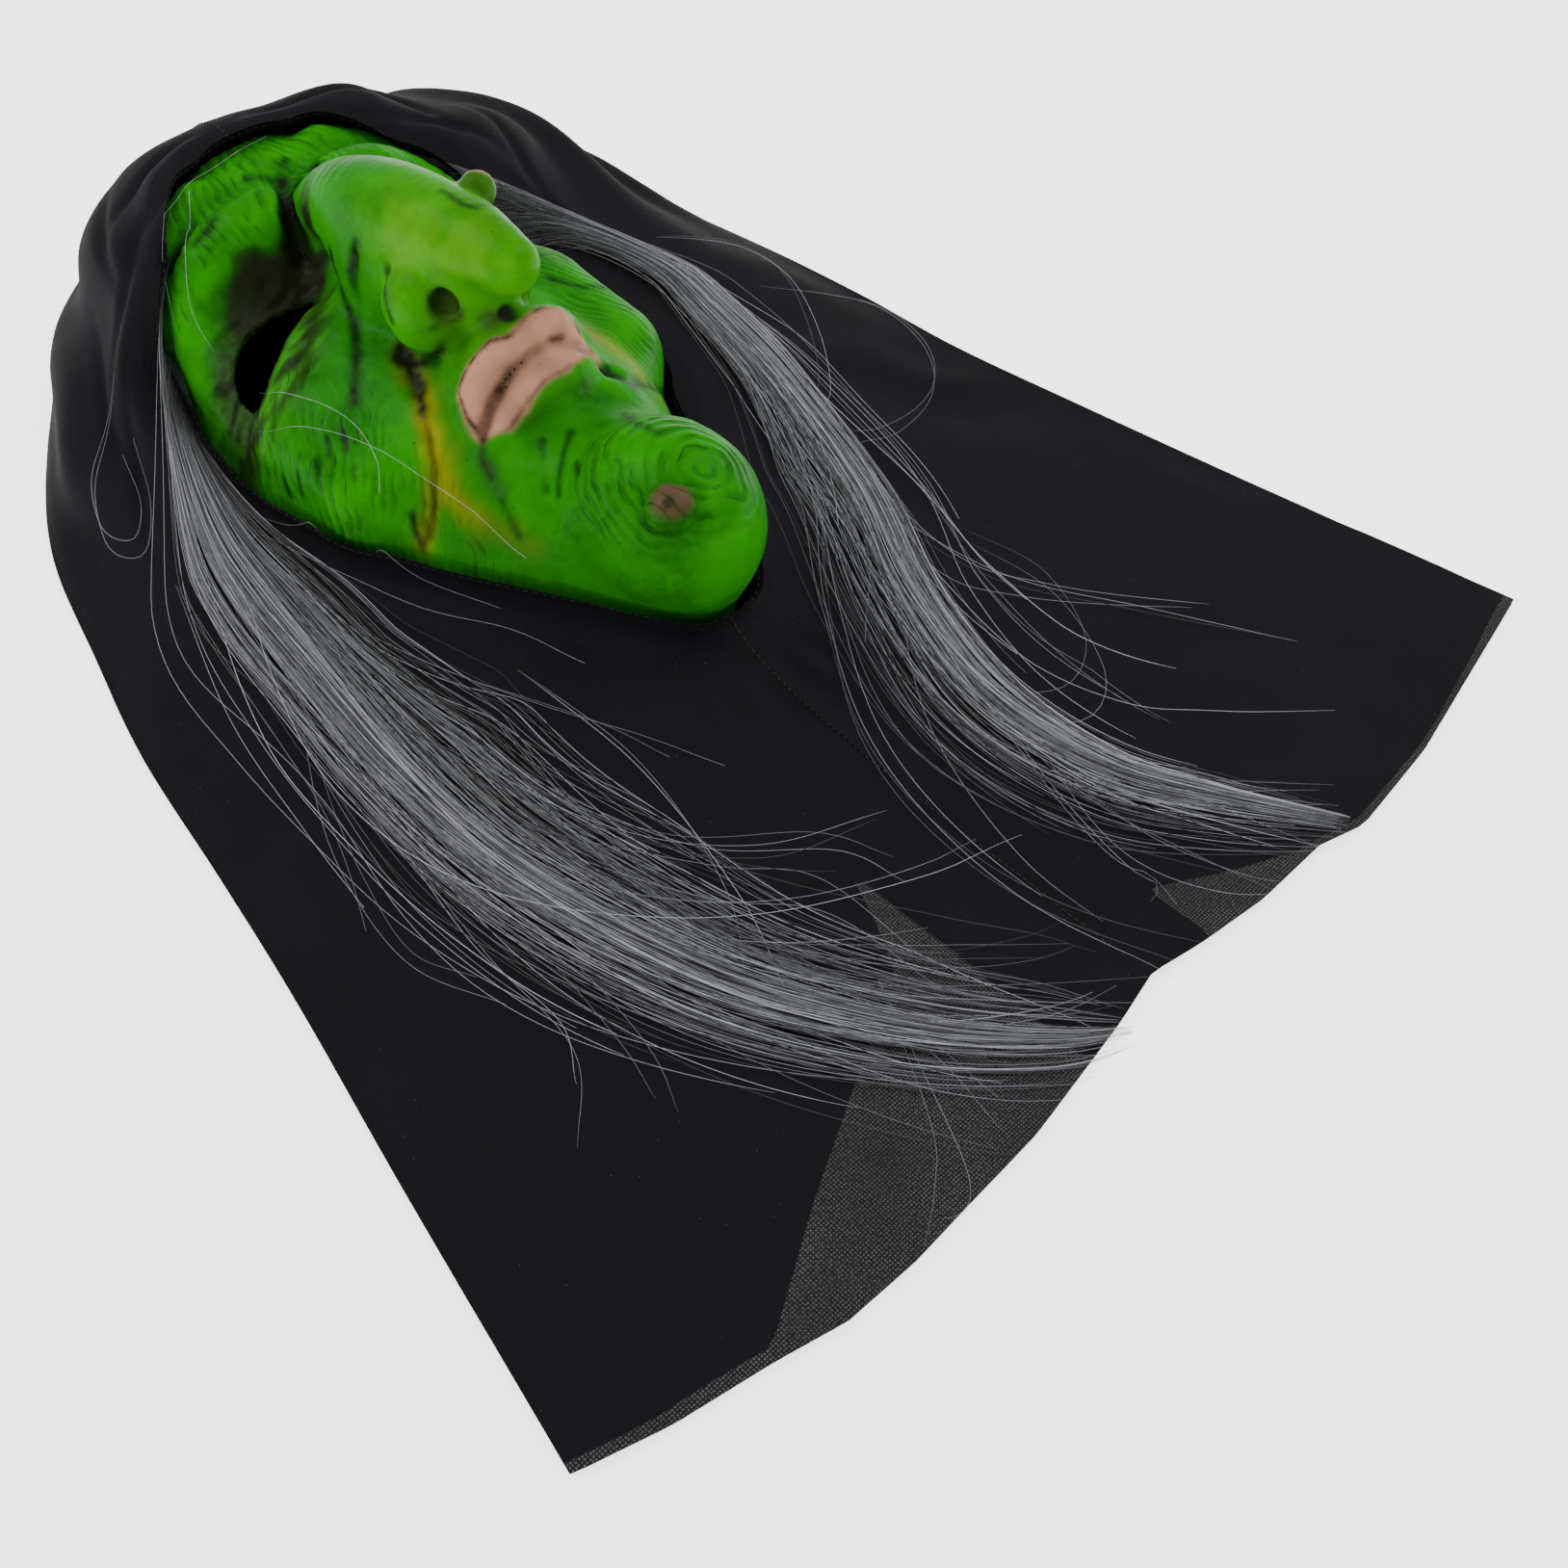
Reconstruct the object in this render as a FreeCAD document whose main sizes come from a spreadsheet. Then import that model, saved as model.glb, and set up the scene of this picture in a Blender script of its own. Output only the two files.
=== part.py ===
import FreeCAD, Part
import Sketcher
import math
import os

# A latex hag mask with a knit hood and cape, lying on its back.
# Frame: +Z is up, out of the face. +Y points to the crown and -Y to the hem.
# +X is the wearer's left. The origin is the middle of the footprint, on the surface it lies on.

VECTOR = FreeCAD.Vector

doc = FreeCAD.newDocument("LatexHagMask")
sheet = doc.addObject("Spreadsheet::Sheet", "Sizes")

DRIVING_SIZES = [
    # cape, laid flat
    ("hem_half", 220.0),
    ("hem_corner", -236.0),
    ("hem_notch", -245.0),
    ("side_taper", 0.151),
    ("cloth", 1.0),
    ("fold_line", -100.0),
    ("fold_gap", 0.8),
    # the back leaf stops in an open arch, and the folded strip backs the centre-front seam
    ("arch_apex", -155.0),
    ("arch_foot", 165.0),
    ("strip_right", 36.0),
    ("strip_left", 22.0),
    ("strip_fold", 0.8),
    ("thread", 0.9),
    # hood
    ("hood_crown", 258.0),
    ("hood_corner_x", 128.0),
    ("hood_corner_y", 214.0),
    ("hood_side_x", 162.0),
    ("hood_side_y", 85.0),
    # latex face
    ("latex", 2.2),
    ("rim_base", 8.0),
    ("rim_clearance", 1.6),
    ("face_top", 204.0),
    ("eye_x", 41.0),
    ("eye_y", 129.0),
    ("eye_long", 25.0),
    ("eye_short", 12.0),
    ("eye_tilt", 19.0),
    # hair
    ("hair_rise", 0.6),
    ("weft_long", 34.0),
    ("weft_wide", 8.0),
    ("weft_thick", 2.0),
    ("weft_x", 82.0),
    ("weft_y", 142.0),
    ("weft_z", 14.0),
    ("lift_line", -133.0),
    ("hair_gap", 3.0),
]
for row, (alias, value) in enumerate(DRIVING_SIZES, start=1):
    sheet.set("A%d" % row, alias)
    sheet.set("B%d" % row, str(value))
    sheet.setAlias("B%d" % row, alias)
doc.recompute()


def size(alias):
    return float(getattr(sheet, alias))


def ground_half_width(y):
    """Half the width of the cape's straight-sided part at a given y."""
    return size("hem_half") - size("side_taper") * (y - size("hem_corner"))


NODES = []


def keep(feature, label):
    feature.Label = label
    NODES.append(feature)
    return feature


# --- flat leaves of cloth: PartDesign bodies with a sketched outline ---------------------------


def origin_plane(body, role):
    return next(f for f in body.Origin.OriginFeatures if f.Role == role)


def sketch_outline(sketch, corners, arcs):
    """Draws a closed outline. corners holds (x, y) pairs, each a (value, expression) pair.

    arcs maps the number of a side to the point that its arc goes through.
    """
    count = len(corners)
    spots = [VECTOR(x[0], y[0], 0) for x, y in corners]
    for side in range(count):
        start, end = spots[side], spots[(side + 1) % count]
        if side in arcs:
            curve = upright_arc(start, VECTOR(*arcs[side], 0), end)
        else:
            curve = Part.LineSegment(start, end)
        sketch.addGeometry(curve, False)
    starts = [start_of(sketch.Geometry[side], spots[side]) for side in range(count)]
    constraints = []
    bound = {}
    for side in range(count):
        previous = (side - 1) % count
        last = 3 - starts[previous]
        constraints.append(
            Sketcher.Constraint("Coincident", previous, last, side, starts[side])
        )
        for kind, (value, expression) in zip(("DistanceX", "DistanceY"), corners[side]):
            if expression:
                bound[len(constraints)] = expression
            constraints.append(Sketcher.Constraint(kind, -1, 1, side, starts[side], value))
    for side in arcs:
        radius = sketch.Geometry[side].Radius
        constraints.append(Sketcher.Constraint("Radius", side, radius))
    sketch.addConstraint(constraints)
    for number, expression in bound.items():
        sketch.setExpression("Constraints[%d]" % number, expression)


def upright_arc(start, through, end):
    """The arc through three points as a counterclockwise arc about +Z, as a sketch stores it."""
    circle = Part.Arc(start, through, end).toShape().Curve
    middle = circle.Center
    clockwise = (through - start).cross(end - through).z < 0
    first, last = (end, start) if clockwise else (start, end)
    angles = [math.atan2(spot.y - middle.y, spot.x - middle.x) for spot in (first, last)]
    return Part.ArcOfCircle(Part.Circle(middle, VECTOR(0, 0, 1), circle.Radius), *angles)


def start_of(curve, spot):
    """Which end of a side, 1 or 2, lies at the spot where it starts: an arc may run backwards."""
    return 1 if (curve.StartPoint - spot).Length < 1e-6 else 2


def leaf(label, side, corners, arcs, bottom, bottom_expression):
    """One layer of cloth on one side of the centre line, cut to an outline and padded."""
    body = doc.addObject("PartDesign::Body", label)
    sketch = body.newObject("Sketcher::SketchObject", label + "_outline")
    sketch.AttachmentSupport = [(origin_plane(body, "XY_Plane"), "")]
    sketch.MapMode = "FlatFace"
    signed = [
        ((side * x[0], "%d * (%s)" % (side, x[1]) if x[1] else None), y) for x, y in corners
    ]
    sketch_outline(sketch, signed, {k: (side * x, y) for k, (x, y) in arcs.items()})
    pad = body.newObject("PartDesign::Pad", label + "_layer")
    pad.Profile = sketch
    pad.setExpression("Length", "Sizes.cloth")
    body.Placement.Base.z = bottom
    body.setExpression(".Placement.Base.z", bottom_expression)
    return keep(body, label)


def both(alias):
    """A sheet value with the expression that follows it."""
    return size(alias), "Sizes.%s" % alias


cloth = size("cloth")
fold = size("fold_line")
gap = size("fold_gap")
cape_top_y = (fold - gap, "Sizes.fold_line - Sizes.fold_gap")
cape_top_x = (
    ground_half_width(fold),
    "Sizes.hem_half - Sizes.side_taper * (Sizes.fold_line - Sizes.hem_corner)",
)
centre = (0.0, None)
front_level = cloth + size("strip_fold")
FRONT_LEVEL = "Sizes.cloth + Sizes.strip_fold"
ARCH_FOOT_Y = -249.5

# the points that the curved sides of the leaves on the wearer's left pass through
FRONT_HEM = (110.0, -258.0)
BACK_HEM = (194.0, -244.5)
ARCH_SIDE = (74.0, -196.0)
HOOD_FLARE = (181.5, -8.0)
HOOD_TEMPLE = (150.0, 152.0)
HOOD_CROWN = (76.0, 247.0)

for name, side in (("left", 1), ("right", -1)):
    leaf(
        "cape_front_" + name,
        side,
        [
            (centre, cape_top_y),
            (cape_top_x, cape_top_y),
            (both("hem_half"), both("hem_corner")),
            (centre, both("hem_notch")),
        ],
        {2: FRONT_HEM},
        front_level,
        FRONT_LEVEL,
    )
    leaf(
        "cape_back_" + name,
        side,
        [
            (centre, cape_top_y),
            (cape_top_x, cape_top_y),
            (both("hem_half"), both("hem_corner")),
            (both("arch_foot"), (ARCH_FOOT_Y, None)),
            (centre, both("arch_apex")),
        ],
        {2: BACK_HEM, 3: ARCH_SIDE},
        0.0,
        "0",
    )
    leaf(
        "hood_back_" + name,
        side,
        [
            (centre, both("fold_line")),
            (cape_top_x, both("fold_line")),
            (both("hood_side_x"), both("hood_side_y")),
            (both("hood_corner_x"), both("hood_corner_y")),
            (centre, both("hood_crown")),
        ],
        {1: HOOD_FLARE, 2: HOOD_TEMPLE, 3: HOOD_CROWN},
        0.0,
        "0",
    )

# --- the folded strip behind the centre-front seam, and the seams' threads -----------------------

strip = keep(doc.addObject("Part::Box", "front_seam_strip"), "front_seam_strip")
strip.setExpression("Length", "Sizes.strip_left + Sizes.strip_right")
strip.setExpression("Width", "Sizes.fold_line - Sizes.fold_gap - Sizes.hem_notch - 2")
strip.setExpression("Height", "Sizes.strip_fold")
strip.setExpression(".Placement.Base.x", "-Sizes.strip_right")
strip.setExpression(".Placement.Base.y", "Sizes.hem_notch + 2")
strip.setExpression(".Placement.Base.z", "Sizes.cloth")

front_thread = keep(doc.addObject("Part::Cylinder", "front_seam_thread"), "front_seam_thread")
front_thread.setExpression("Radius", "Sizes.thread / 2")
front_thread.setExpression("Height", "Sizes.fold_line - Sizes.fold_gap - Sizes.hem_notch - 4")
front_thread.Placement.Rotation = FreeCAD.Rotation(VECTOR(1, 0, 0), -90)
front_thread.setExpression(".Placement.Base.y", "Sizes.hem_notch + 2")
front_thread.setExpression(
    ".Placement.Base.z", "2 * Sizes.cloth + Sizes.strip_fold + Sizes.thread / 2"
)

back_thread = keep(doc.addObject("Part::Cylinder", "back_seam_thread"), "back_seam_thread")
back_thread.setExpression("Radius", "Sizes.thread / 2")
back_thread.setExpression("Height", "Sizes.hood_crown - Sizes.fold_line - 14")
back_thread.Placement.Rotation = FreeCAD.Rotation(VECTOR(1, 0, 0), -90)
back_thread.setExpression(".Placement.Base.y", "Sizes.fold_line + 6")
back_thread.setExpression(".Placement.Base.z", "Sizes.cloth + Sizes.thread / 2")


# --- the latex face: lofted cheeks and forehead, with the nose, chin, brows and lips moulded in --

# y, half width and height of the face form's cross-sections, from the chin to the forehead
FACE_SECTIONS = [
    (-44.0, 18.0, 54.0),
    (-22.0, 32.0, 64.0),
    (10.0, 50.0, 68.0),
    (45.0, 68.0, 70.0),
    (85.0, 79.0, 72.0),
    (125.0, 79.0, 74.0),
    (160.0, 71.0, 83.0),
    (185.0, 61.0, 87.0),
]
FACE_TOP_SECTION = (50.0, 84.0)
SECTION_POWER = 2.4
PROFILE_STEPS = 12
OVAL_STEPS = 16
# how far the hollow runs past the open edge over the forehead, and the eye holes' vertical extent
HOLLOW_OVERRUN = 6.0
EYE_PRISM_FLOOR = 20.0
EYE_PRISM_HEIGHT = 120.0


def arch(y, half, height, base):
    """A closed cross-section at y: a superellipse arch standing on a straight foot."""
    spots = []
    for step in range(PROFILE_STEPS + 1):
        turn = math.pi * step / PROFILE_STEPS
        reach = abs(math.cos(turn)) ** (2 / SECTION_POWER) * half
        rise = abs(math.sin(turn)) ** (2 / SECTION_POWER) * (height - base)
        spots.append(VECTOR(math.copysign(reach, math.cos(turn)), y, base + rise))
    spots[0] = VECTOR(half, y, base)
    spots[-1] = VECTOR(-half, y, base)
    curve = Part.BSplineCurve()
    curve.interpolate(spots)
    foot = Part.LineSegment(spots[-1], spots[0])
    return Part.Wire([curve.toShape(), foot.toShape()])


def ellipsoid(at, radii, tilt=(0.0, 0.0, 0.0)):
    """An ellipsoid turned by its tilt about X, then Y, then Z, in degrees."""
    ball = Part.makeSphere(1.0)
    stretch = FreeCAD.Matrix()
    stretch.scale(*radii)
    ball = ball.transformGeometry(stretch)
    turn = FreeCAD.Rotation(tilt[2], tilt[1], tilt[0])
    ball.Placement = FreeCAD.Placement(VECTOR(*at), turn)
    return ball


# centre, radii and tilt of each moulded feature
MIDDLE_FEATURES = [
    ((3.0, -35.0, 50.0), (28.0, 34.0, 31.0), (0.0, 0.0, 0.0)),  # chin
    ((0.0, 41.0, 66.0), (27.0, 19.0, 20.0), (0.0, 0.0, 0.0)),  # muzzle
    ((0.0, 35.0, 76.0), (25.0, 9.0, 14.0), (0.0, 0.0, 0.0)),  # upper lip
    ((0.0, 22.0, 66.0), (24.0, 9.0, 12.0), (0.0, 0.0, 0.0)),  # lower lip
]
PAIRED_FEATURES = [
    ((17.0, 67.0, 87.0), (10.5, 15.0, 15.0), (0.0, 0.0, 0.0)),  # nose wing
    ((35.0, 161.0, 70.0), (30.0, 13.5, 16.5), (0.0, 25.0, -14.0)),  # brow
    ((54.0, 72.0, 40.0), (19.0, 34.0, 19.0), (0.0, 0.0, 0.0)),  # cheek
]
# y, half width, middle height and rise of the nose's oval sections, from between the eyes to its tip
NOSE_SECTIONS = [
    (153.0, 8.5, 77.0, 11.0),
    (144.0, 11.5, 81.0, 15.0),
    (130.0, 15.5, 85.0, 22.0),
    (115.0, 18.0, 87.0, 28.0),
    (97.0, 18.5, 89.5, 31.5),
    (79.0, 17.5, 91.0, 32.5),
    (61.0, 16.5, 103.0, 22.0),
    (47.0, 13.5, 110.0, 15.0),
    (36.0, 10.0, 113.0, 10.5),
    (28.5, 5.5, 113.5, 5.5),
]
WARTS = [
    ((17.0, 73.0, 114.0), 6.5),
    ((-11.0, -50.0, 74.0), 6.5),
]


def nose_form(inset):
    """The hooked nose: one smooth loft that leaves the face below the eyes and droops to its tip."""
    wires = []
    for number, (y, half, middle, rise) in enumerate(NOSE_SECTIONS):
        end = number - (len(NOSE_SECTIONS) - 1)
        along = y - inset if number == 0 else y + inset if end == 0 else y
        across, upright = half - inset, rise - inset
        spots = []
        for step in range(OVAL_STEPS):
            turn = 2 * math.pi * step / OVAL_STEPS
            spots.append(VECTOR(across * math.cos(turn), along, middle + upright * math.sin(turn)))
        curve = Part.BSplineCurve()
        curve.interpolate(spots, PeriodicFlag=True)
        wires.append(Part.Wire(curve.toShape()))
    return Part.makeLoft(wires, True, False)


def face_form(inset):
    """The face as one filled form, shrunk by an inset. The shell is the form less its inset self."""
    base = 0.0 if inset > 0 else size("rim_base")
    top = size("face_top") + (HOLLOW_OVERRUN if inset else 0.0)
    wires = []
    for number, (y, half, height) in enumerate(FACE_SECTIONS):
        along = y + inset if number == 0 else y
        wires.append(arch(along, half - inset, height - inset, base))
    half, height = FACE_TOP_SECTION
    wires.append(arch(top, half - inset, height - inset, base))
    form = Part.makeLoft(wires, True, False).fuse(nose_form(inset))
    for at, radii, tilt in MIDDLE_FEATURES:
        form = form.fuse(ellipsoid(at, [r - inset for r in radii], tilt))
    for at, radii, tilt in PAIRED_FEATURES:
        for side in (1, -1):
            mirrored = (side * at[0], at[1], at[2])
            turned = (tilt[0], side * tilt[1], side * tilt[2])
            form = form.fuse(ellipsoid(mirrored, [r - inset for r in radii], turned))
    return form


def eye_cutter(side):
    """An upright prism with an oval section, tilted so that the eye slants down outwards."""
    oval = Part.Ellipse(VECTOR(0, 0, 0), size("eye_long"), size("eye_short"))
    prism = Part.Face(Part.Wire(oval.toShape())).extrude(VECTOR(0, 0, EYE_PRISM_HEIGHT))
    turn = FreeCAD.Rotation(VECTOR(0, 0, 1), side * -size("eye_tilt"))
    foot = VECTOR(side * size("eye_x"), size("eye_y"), EYE_PRISM_FLOOR)
    prism.Placement = FreeCAD.Placement(foot, turn)
    return prism


def latex_shell():
    """The face with its warts, hollowed to the thickness of the latex and cut through at the eyes."""
    outer = face_form(0.0)
    for at, radius in WARTS:
        outer = outer.fuse(Part.makeSphere(radius, VECTOR(*at)))
    shell = outer.cut(face_form(size("latex")))
    for side in (1, -1):
        shell = shell.cut(eye_cutter(side))
    return max(shell.Solids, key=lambda solid: solid.Volume)


face = keep(doc.addObject("Part::Feature", "latex_face"), "latex_face")
face.Shape = latex_shell()
face.Placement = FreeCAD.Placement()


# --- the hood's front: cloth that drapes from the rim of the face to the fold at the sides -------

# y, half width on the ground and height at the middle of the drape, from the neck to the crown
DRAPE_SECTIONS = [
    (-50.0, 190.0, 11.0),
    (10.0, 178.0, 16.0),
    (45.0, 170.5, 27.0),
    (85.0, 162.0, 47.0),
    (125.0, 155.0, 60.0),
    (165.0, 147.0, 66.0),
    (190.0, 138.0, 80.0),
    (206.0, 131.0, 91.0),
    (226.0, 116.0, 84.0),
    (244.0, 84.0, 62.0),
]
DRAPE_END = (54.0, 44.0)
DRAPE_POWER = 1.5
# the drape's height over the front leaf at the fold line, and its reach short of the crown's edge
DRAPE_START_RISE = 1.0
CROWN_SETBACK = 2.0


def drape_sections():
    """The drape's sections with the two that the sheet places, at the fold line and the crown."""
    first = (size("fold_line"), cape_top_x[0], front_level + cloth + DRAPE_START_RISE)
    last = (size("hood_crown") - CROWN_SETBACK, *DRAPE_END)
    return [first, *DRAPE_SECTIONS, last]


def bell(half, height, x):
    """The height of the drape's outer face at x, on a section of that half width and height."""
    share = min(abs(x) / half, 1.0)
    return 2 * cloth + (height - 2 * cloth) * (1 - share**2) ** DRAPE_POWER


def bell_wire(y, half, height, trim, lowered, foot):
    """A closed bell-shaped section: trimmed at both sides, lowered, and closed by a foot."""
    reach = half - trim
    spots = []
    for step in range(2 * PROFILE_STEPS + 1):
        x = reach * math.cos(math.pi * step / (2 * PROFILE_STEPS))
        spots.append(VECTOR(x, y, bell(half, height, x) - lowered))
    curve = Part.BSplineCurve()
    curve.interpolate(spots)
    right, left = VECTOR(reach, y, foot), VECTOR(-reach, y, foot)
    edges = [
        Part.LineSegment(right, spots[0]).toShape(),
        curve.toShape(),
        Part.LineSegment(spots[-1], left).toShape(),
        Part.LineSegment(left, right).toShape(),
    ]
    return Part.Wire(edges)


def drape_height(x, y):
    """The height of the drape's outer face above the ground, between its sections."""
    sections = drape_sections()
    for (y0, half0, height0), (y1, half1, height1) in zip(sections, sections[1:]):
        if y0 <= y <= y1:
            share = (y - y0) / (y1 - y0)
            half = half0 + share * (half1 - half0)
            return bell(half, height0 + share * (height1 - height0), x)
    return front_level + cloth


def drape_form(raised):
    """The filled form under the drape's outer face, raised by that much."""
    wires = [bell_wire(*s, 0.0, -raised, cloth) for s in drape_sections()]
    return Part.makeLoft(wires, True, False)


def drape_shell():
    """Both sides of the drape, open over the face and at the neck, closed behind the crown."""
    sections = drape_sections()
    outer = drape_form(0.0)
    inner_sections = [(size("fold_line") - 1.0, *sections[0][1:]), *sections[1:-1]]
    inner_sections.append((sections[-1][0] - cloth, *sections[-1][1:]))
    inner = Part.makeLoft([bell_wire(*s, cloth, cloth, -cloth) for s in inner_sections], True, False)
    return outer.cut(inner).cut(face_form(-size("rim_clearance")))


def half_space(side):
    """A block that holds everything on one side of the centre line."""
    reach = 2 * size("hem_half")
    block = Part.makeBox(reach, 2 * reach, reach)
    block.translate(VECTOR(0 if side > 0 else -reach, -reach, -reach / 2))
    return block


drape = drape_shell()
for name, side in (("left", 1), ("right", -1)):
    panel = keep(doc.addObject("Part::Feature", "hood_front_" + name), "hood_front_" + name)
    pieces = drape.common(half_space(side)).Solids
    panel.Shape = max(pieces, key=lambda solid: solid.Volume)
    panel.Placement = FreeCAD.Placement()


def thread_along(spots):
    """A thread of the sheet's thickness along a smooth line through the spots."""
    curve = Part.BSplineCurve()
    curve.interpolate(spots)
    line = Part.Wire(curve.toShape())
    start, heading = spots[0], curve.tangent(curve.FirstParameter)[0]
    section = Part.Wire(Part.makeCircle(size("thread") / 2, start, heading))
    return line.makePipeShell([section], True, False)


SEAM_CLEARANCE = 0.9
SEAM_STEPS = 8
SEAM_ENDS = (1.0, 6.0)


def crown_seam():
    """The raised seam that runs over the crown, from the rim of the face to the back."""
    start = size("face_top") + SEAM_ENDS[0]
    end = size("hood_crown") - SEAM_ENDS[1]
    cover = drape_form(size("thread") / 2 + SEAM_CLEARANCE)
    spots = []
    for step in range(SEAM_STEPS + 1):
        y = start + step * (end - start) / SEAM_STEPS
        upright = Part.LineSegment(VECTOR(0, y, 0), VECTOR(0, y, size("hem_half"))).toShape()
        spots.append(VECTOR(0, y, upright.common(cover).BoundBox.ZMax))
    return thread_along(spots)


crown_thread = keep(doc.addObject("Part::Feature", "crown_seam_thread"), "crown_seam_thread")
crown_thread.Shape = crown_seam()
crown_thread.Placement = FreeCAD.Placement()


# the stitching's height over the foot of the latex, its setbacks, and its stretch over the brow
STITCH_LEVEL = 3.0
STITCH_SETBACK = 2.0
STITCH_STEPS = 14
BROW_SETBACK = 0.75
BROW_TURNS = [20 + 14 * step for step in range(11)]


def rim_stitching(side):
    """The thread that sews the hood to one side of the latex, from the chin to the crown."""
    level = size("rim_base") + STITCH_LEVEL
    start = FACE_SECTIONS[0][0]
    end = size("face_top") - STITCH_SETBACK
    cover = face_form(-size("rim_clearance") / 2)
    spots = []
    for step in range(STITCH_STEPS + 1):
        y = start + step * (end - start) / STITCH_STEPS
        far = VECTOR(side * size("hem_half"), y, level)
        across = Part.LineSegment(VECTOR(0, y, level), far).toShape()
        box = across.common(cover).BoundBox
        spots.append(VECTOR(box.XMax if side > 0 else box.XMin, y, level))
    return thread_along(spots)


def brow_stitching():
    """The thread that sews the hood to the open edge of the latex over the forehead."""
    half, height = FACE_TOP_SECTION
    base = size("rim_base")
    spots = []
    for degrees in BROW_TURNS:
        turn = math.radians(degrees)
        reach = abs(math.cos(turn)) ** (2 / SECTION_POWER) * half
        rise = math.sin(turn) ** (2 / SECTION_POWER) * (height - base)
        across = math.copysign(reach, math.cos(turn))
        spots.append(VECTOR(across, size("face_top") + BROW_SETBACK, base + rise))
    return thread_along(spots)


for name, side in (("left", 1), ("right", -1)):
    stitches = keep(
        doc.addObject("Part::Feature", "rim_stitching_" + name), "rim_stitching_" + name
    )
    stitches.Shape = rim_stitching(side)
    stitches.Placement = FreeCAD.Placement()

brow_thread = keep(doc.addObject("Part::Feature", "brow_stitching"), "brow_stitching")
brow_thread.Shape = brow_stitching()
brow_thread.Placement = FreeCAD.Placement()

# --- hair: a weft sewn inside the rim at each temple, and a hank in three stretches ---------------

# x, y, width and thickness of each hank, from its root at the temple to its tip at the hem
HANKS = {
    "right": [
        (-90.0, 150.0, 20.0, 8.0),
        (-99.0, 105.0, 32.0, 9.0),
        (-106.0, 45.0, 44.0, 10.0),
        (-107.0, -26.0, 46.0, 10.0),
        (-104.0, -100.0, 46.0, 9.0),
        (-96.0, -133.0, 44.0, 8.0),
        (-74.0, -195.0, 32.0, 6.0),
        (-46.0, -228.0, 16.0, 4.0),
    ],
    "left": [
        (103.0, 162.0, 20.0, 8.0),
        (113.0, 120.0, 28.0, 9.0),
        (112.0, 55.0, 32.0, 9.0),
        (98.0, -10.0, 32.0, 9.0),
        (63.0, -100.0, 30.0, 8.0),
        (52.5, -133.0, 28.0, 8.0),
        (58.0, -185.0, 26.0, 6.0),
        (84.0, -240.0, 14.0, 4.0),
    ],
}


def hank_at(hank, y):
    """The row of a hank at a given y, between the rows of its table."""
    for above, below in zip(hank, hank[1:]):
        if below[1] <= y <= above[1]:
            share = (y - above[1]) / (below[1] - above[1])
            return tuple(a + share * (b - a) for a, b in zip(above, below))
    raise ValueError("the hank does not reach y = %.1f" % y)


def hank_rows(hank, top, bottom):
    """The rows of one stretch of a hank, cut off square at both ends."""
    inside = [row for row in hank if bottom < row[1] < top]
    return [hank_at(hank, top), *inside, hank_at(hank, bottom)]


def hank_section(x, y, width, thick):
    """An upright oval that follows the slope of the cloth and stays clear of it."""
    inner, outer = x - width / 2, x + width / 2
    left, right = drape_height(inner, y), drape_height(outer, y)
    crest = max(0.0, drape_height(x, y) - (left + right) / 2)
    spots = []
    for step in range(OVAL_STEPS):
        turn = 2 * math.pi * step / OVAL_STEPS
        across = math.cos(turn) / 2
        lying = (left + right) / 2 + across * (right - left) + crest
        lift = size("hair_rise") + thick / 2 * (1 + math.sin(turn))
        spots.append(VECTOR(x + across * width, y, lying + lift))
    return Part.makePolygon(spots + spots[:1])


hair_bed = drape_form(size("hair_rise") / 2)
for name, hank in HANKS.items():
    weft = keep(doc.addObject("Part::Box", "hair_weft_" + name), "hair_weft_" + name)
    weft.setExpression("Length", "Sizes.weft_thick")
    weft.setExpression("Width", "Sizes.weft_long")
    weft.setExpression("Height", "Sizes.weft_wide")
    sign = "" if name == "left" else "-"
    weft.setExpression(".Placement.Base.x", sign + "Sizes.weft_x - Sizes.weft_thick / 2")
    weft.setExpression(".Placement.Base.y", "Sizes.weft_y")
    weft.setExpression(".Placement.Base.z", "Sizes.weft_z")
    half_gap = size("hair_gap")
    fold_ends = size("fold_line") + half_gap, size("fold_line") - half_gap
    lift_ends = size("lift_line") + half_gap, size("lift_line") - half_gap
    stretches = {
        "hair_root_": (hank[0][1], fold_ends[0]),
        "hair_middle_": (fold_ends[1], lift_ends[0]),
        "hair_tail_": (lift_ends[1], hank[-1][1]),
    }
    for prefix, (top, bottom) in stretches.items():
        stretch = keep(doc.addObject("Part::Feature", prefix + name), prefix + name)
        wires = [hank_section(*row) for row in hank_rows(hank, top, bottom)]
        bundle = Part.makeLoft(wires, True, True).cut(hair_bed)
        stretch.Shape = max(bundle.Solids, key=lambda solid: solid.Volume)
        stretch.Placement = FreeCAD.Placement()


def report(feature):
    shape = feature.Shape
    box = shape.BoundBox
    print(
        "%-20s valid %s solids %d volume %.1f box x %.1f..%.1f y %.1f..%.1f z %.1f..%.1f"
        % (
            feature.Label,
            shape.isValid(),
            len(shape.Solids),
            shape.Volume,
            box.XMin,
            box.XMax,
            box.YMin,
            box.YMax,
            box.ZMin,
            box.ZMax,
        )
    )


doc.recompute()
os.makedirs("parts", exist_ok=True)
for feature in doc.Objects:
    if "Invalid" in feature.State or "Error" in feature.State:
        raise RuntimeError("%s did not compute" % feature.Label)
for feature in NODES:
    if feature.Shape.isNull() or not feature.Shape.isValid():
        raise RuntimeError("%s has no valid shape" % feature.Label)
    report(feature)
    feature.Shape.exportStep("parts/%s.step" % feature.Label)
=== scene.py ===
import math

import bpy
import numpy as np
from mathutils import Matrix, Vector
from mathutils.bvhtree import BVHTree


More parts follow.
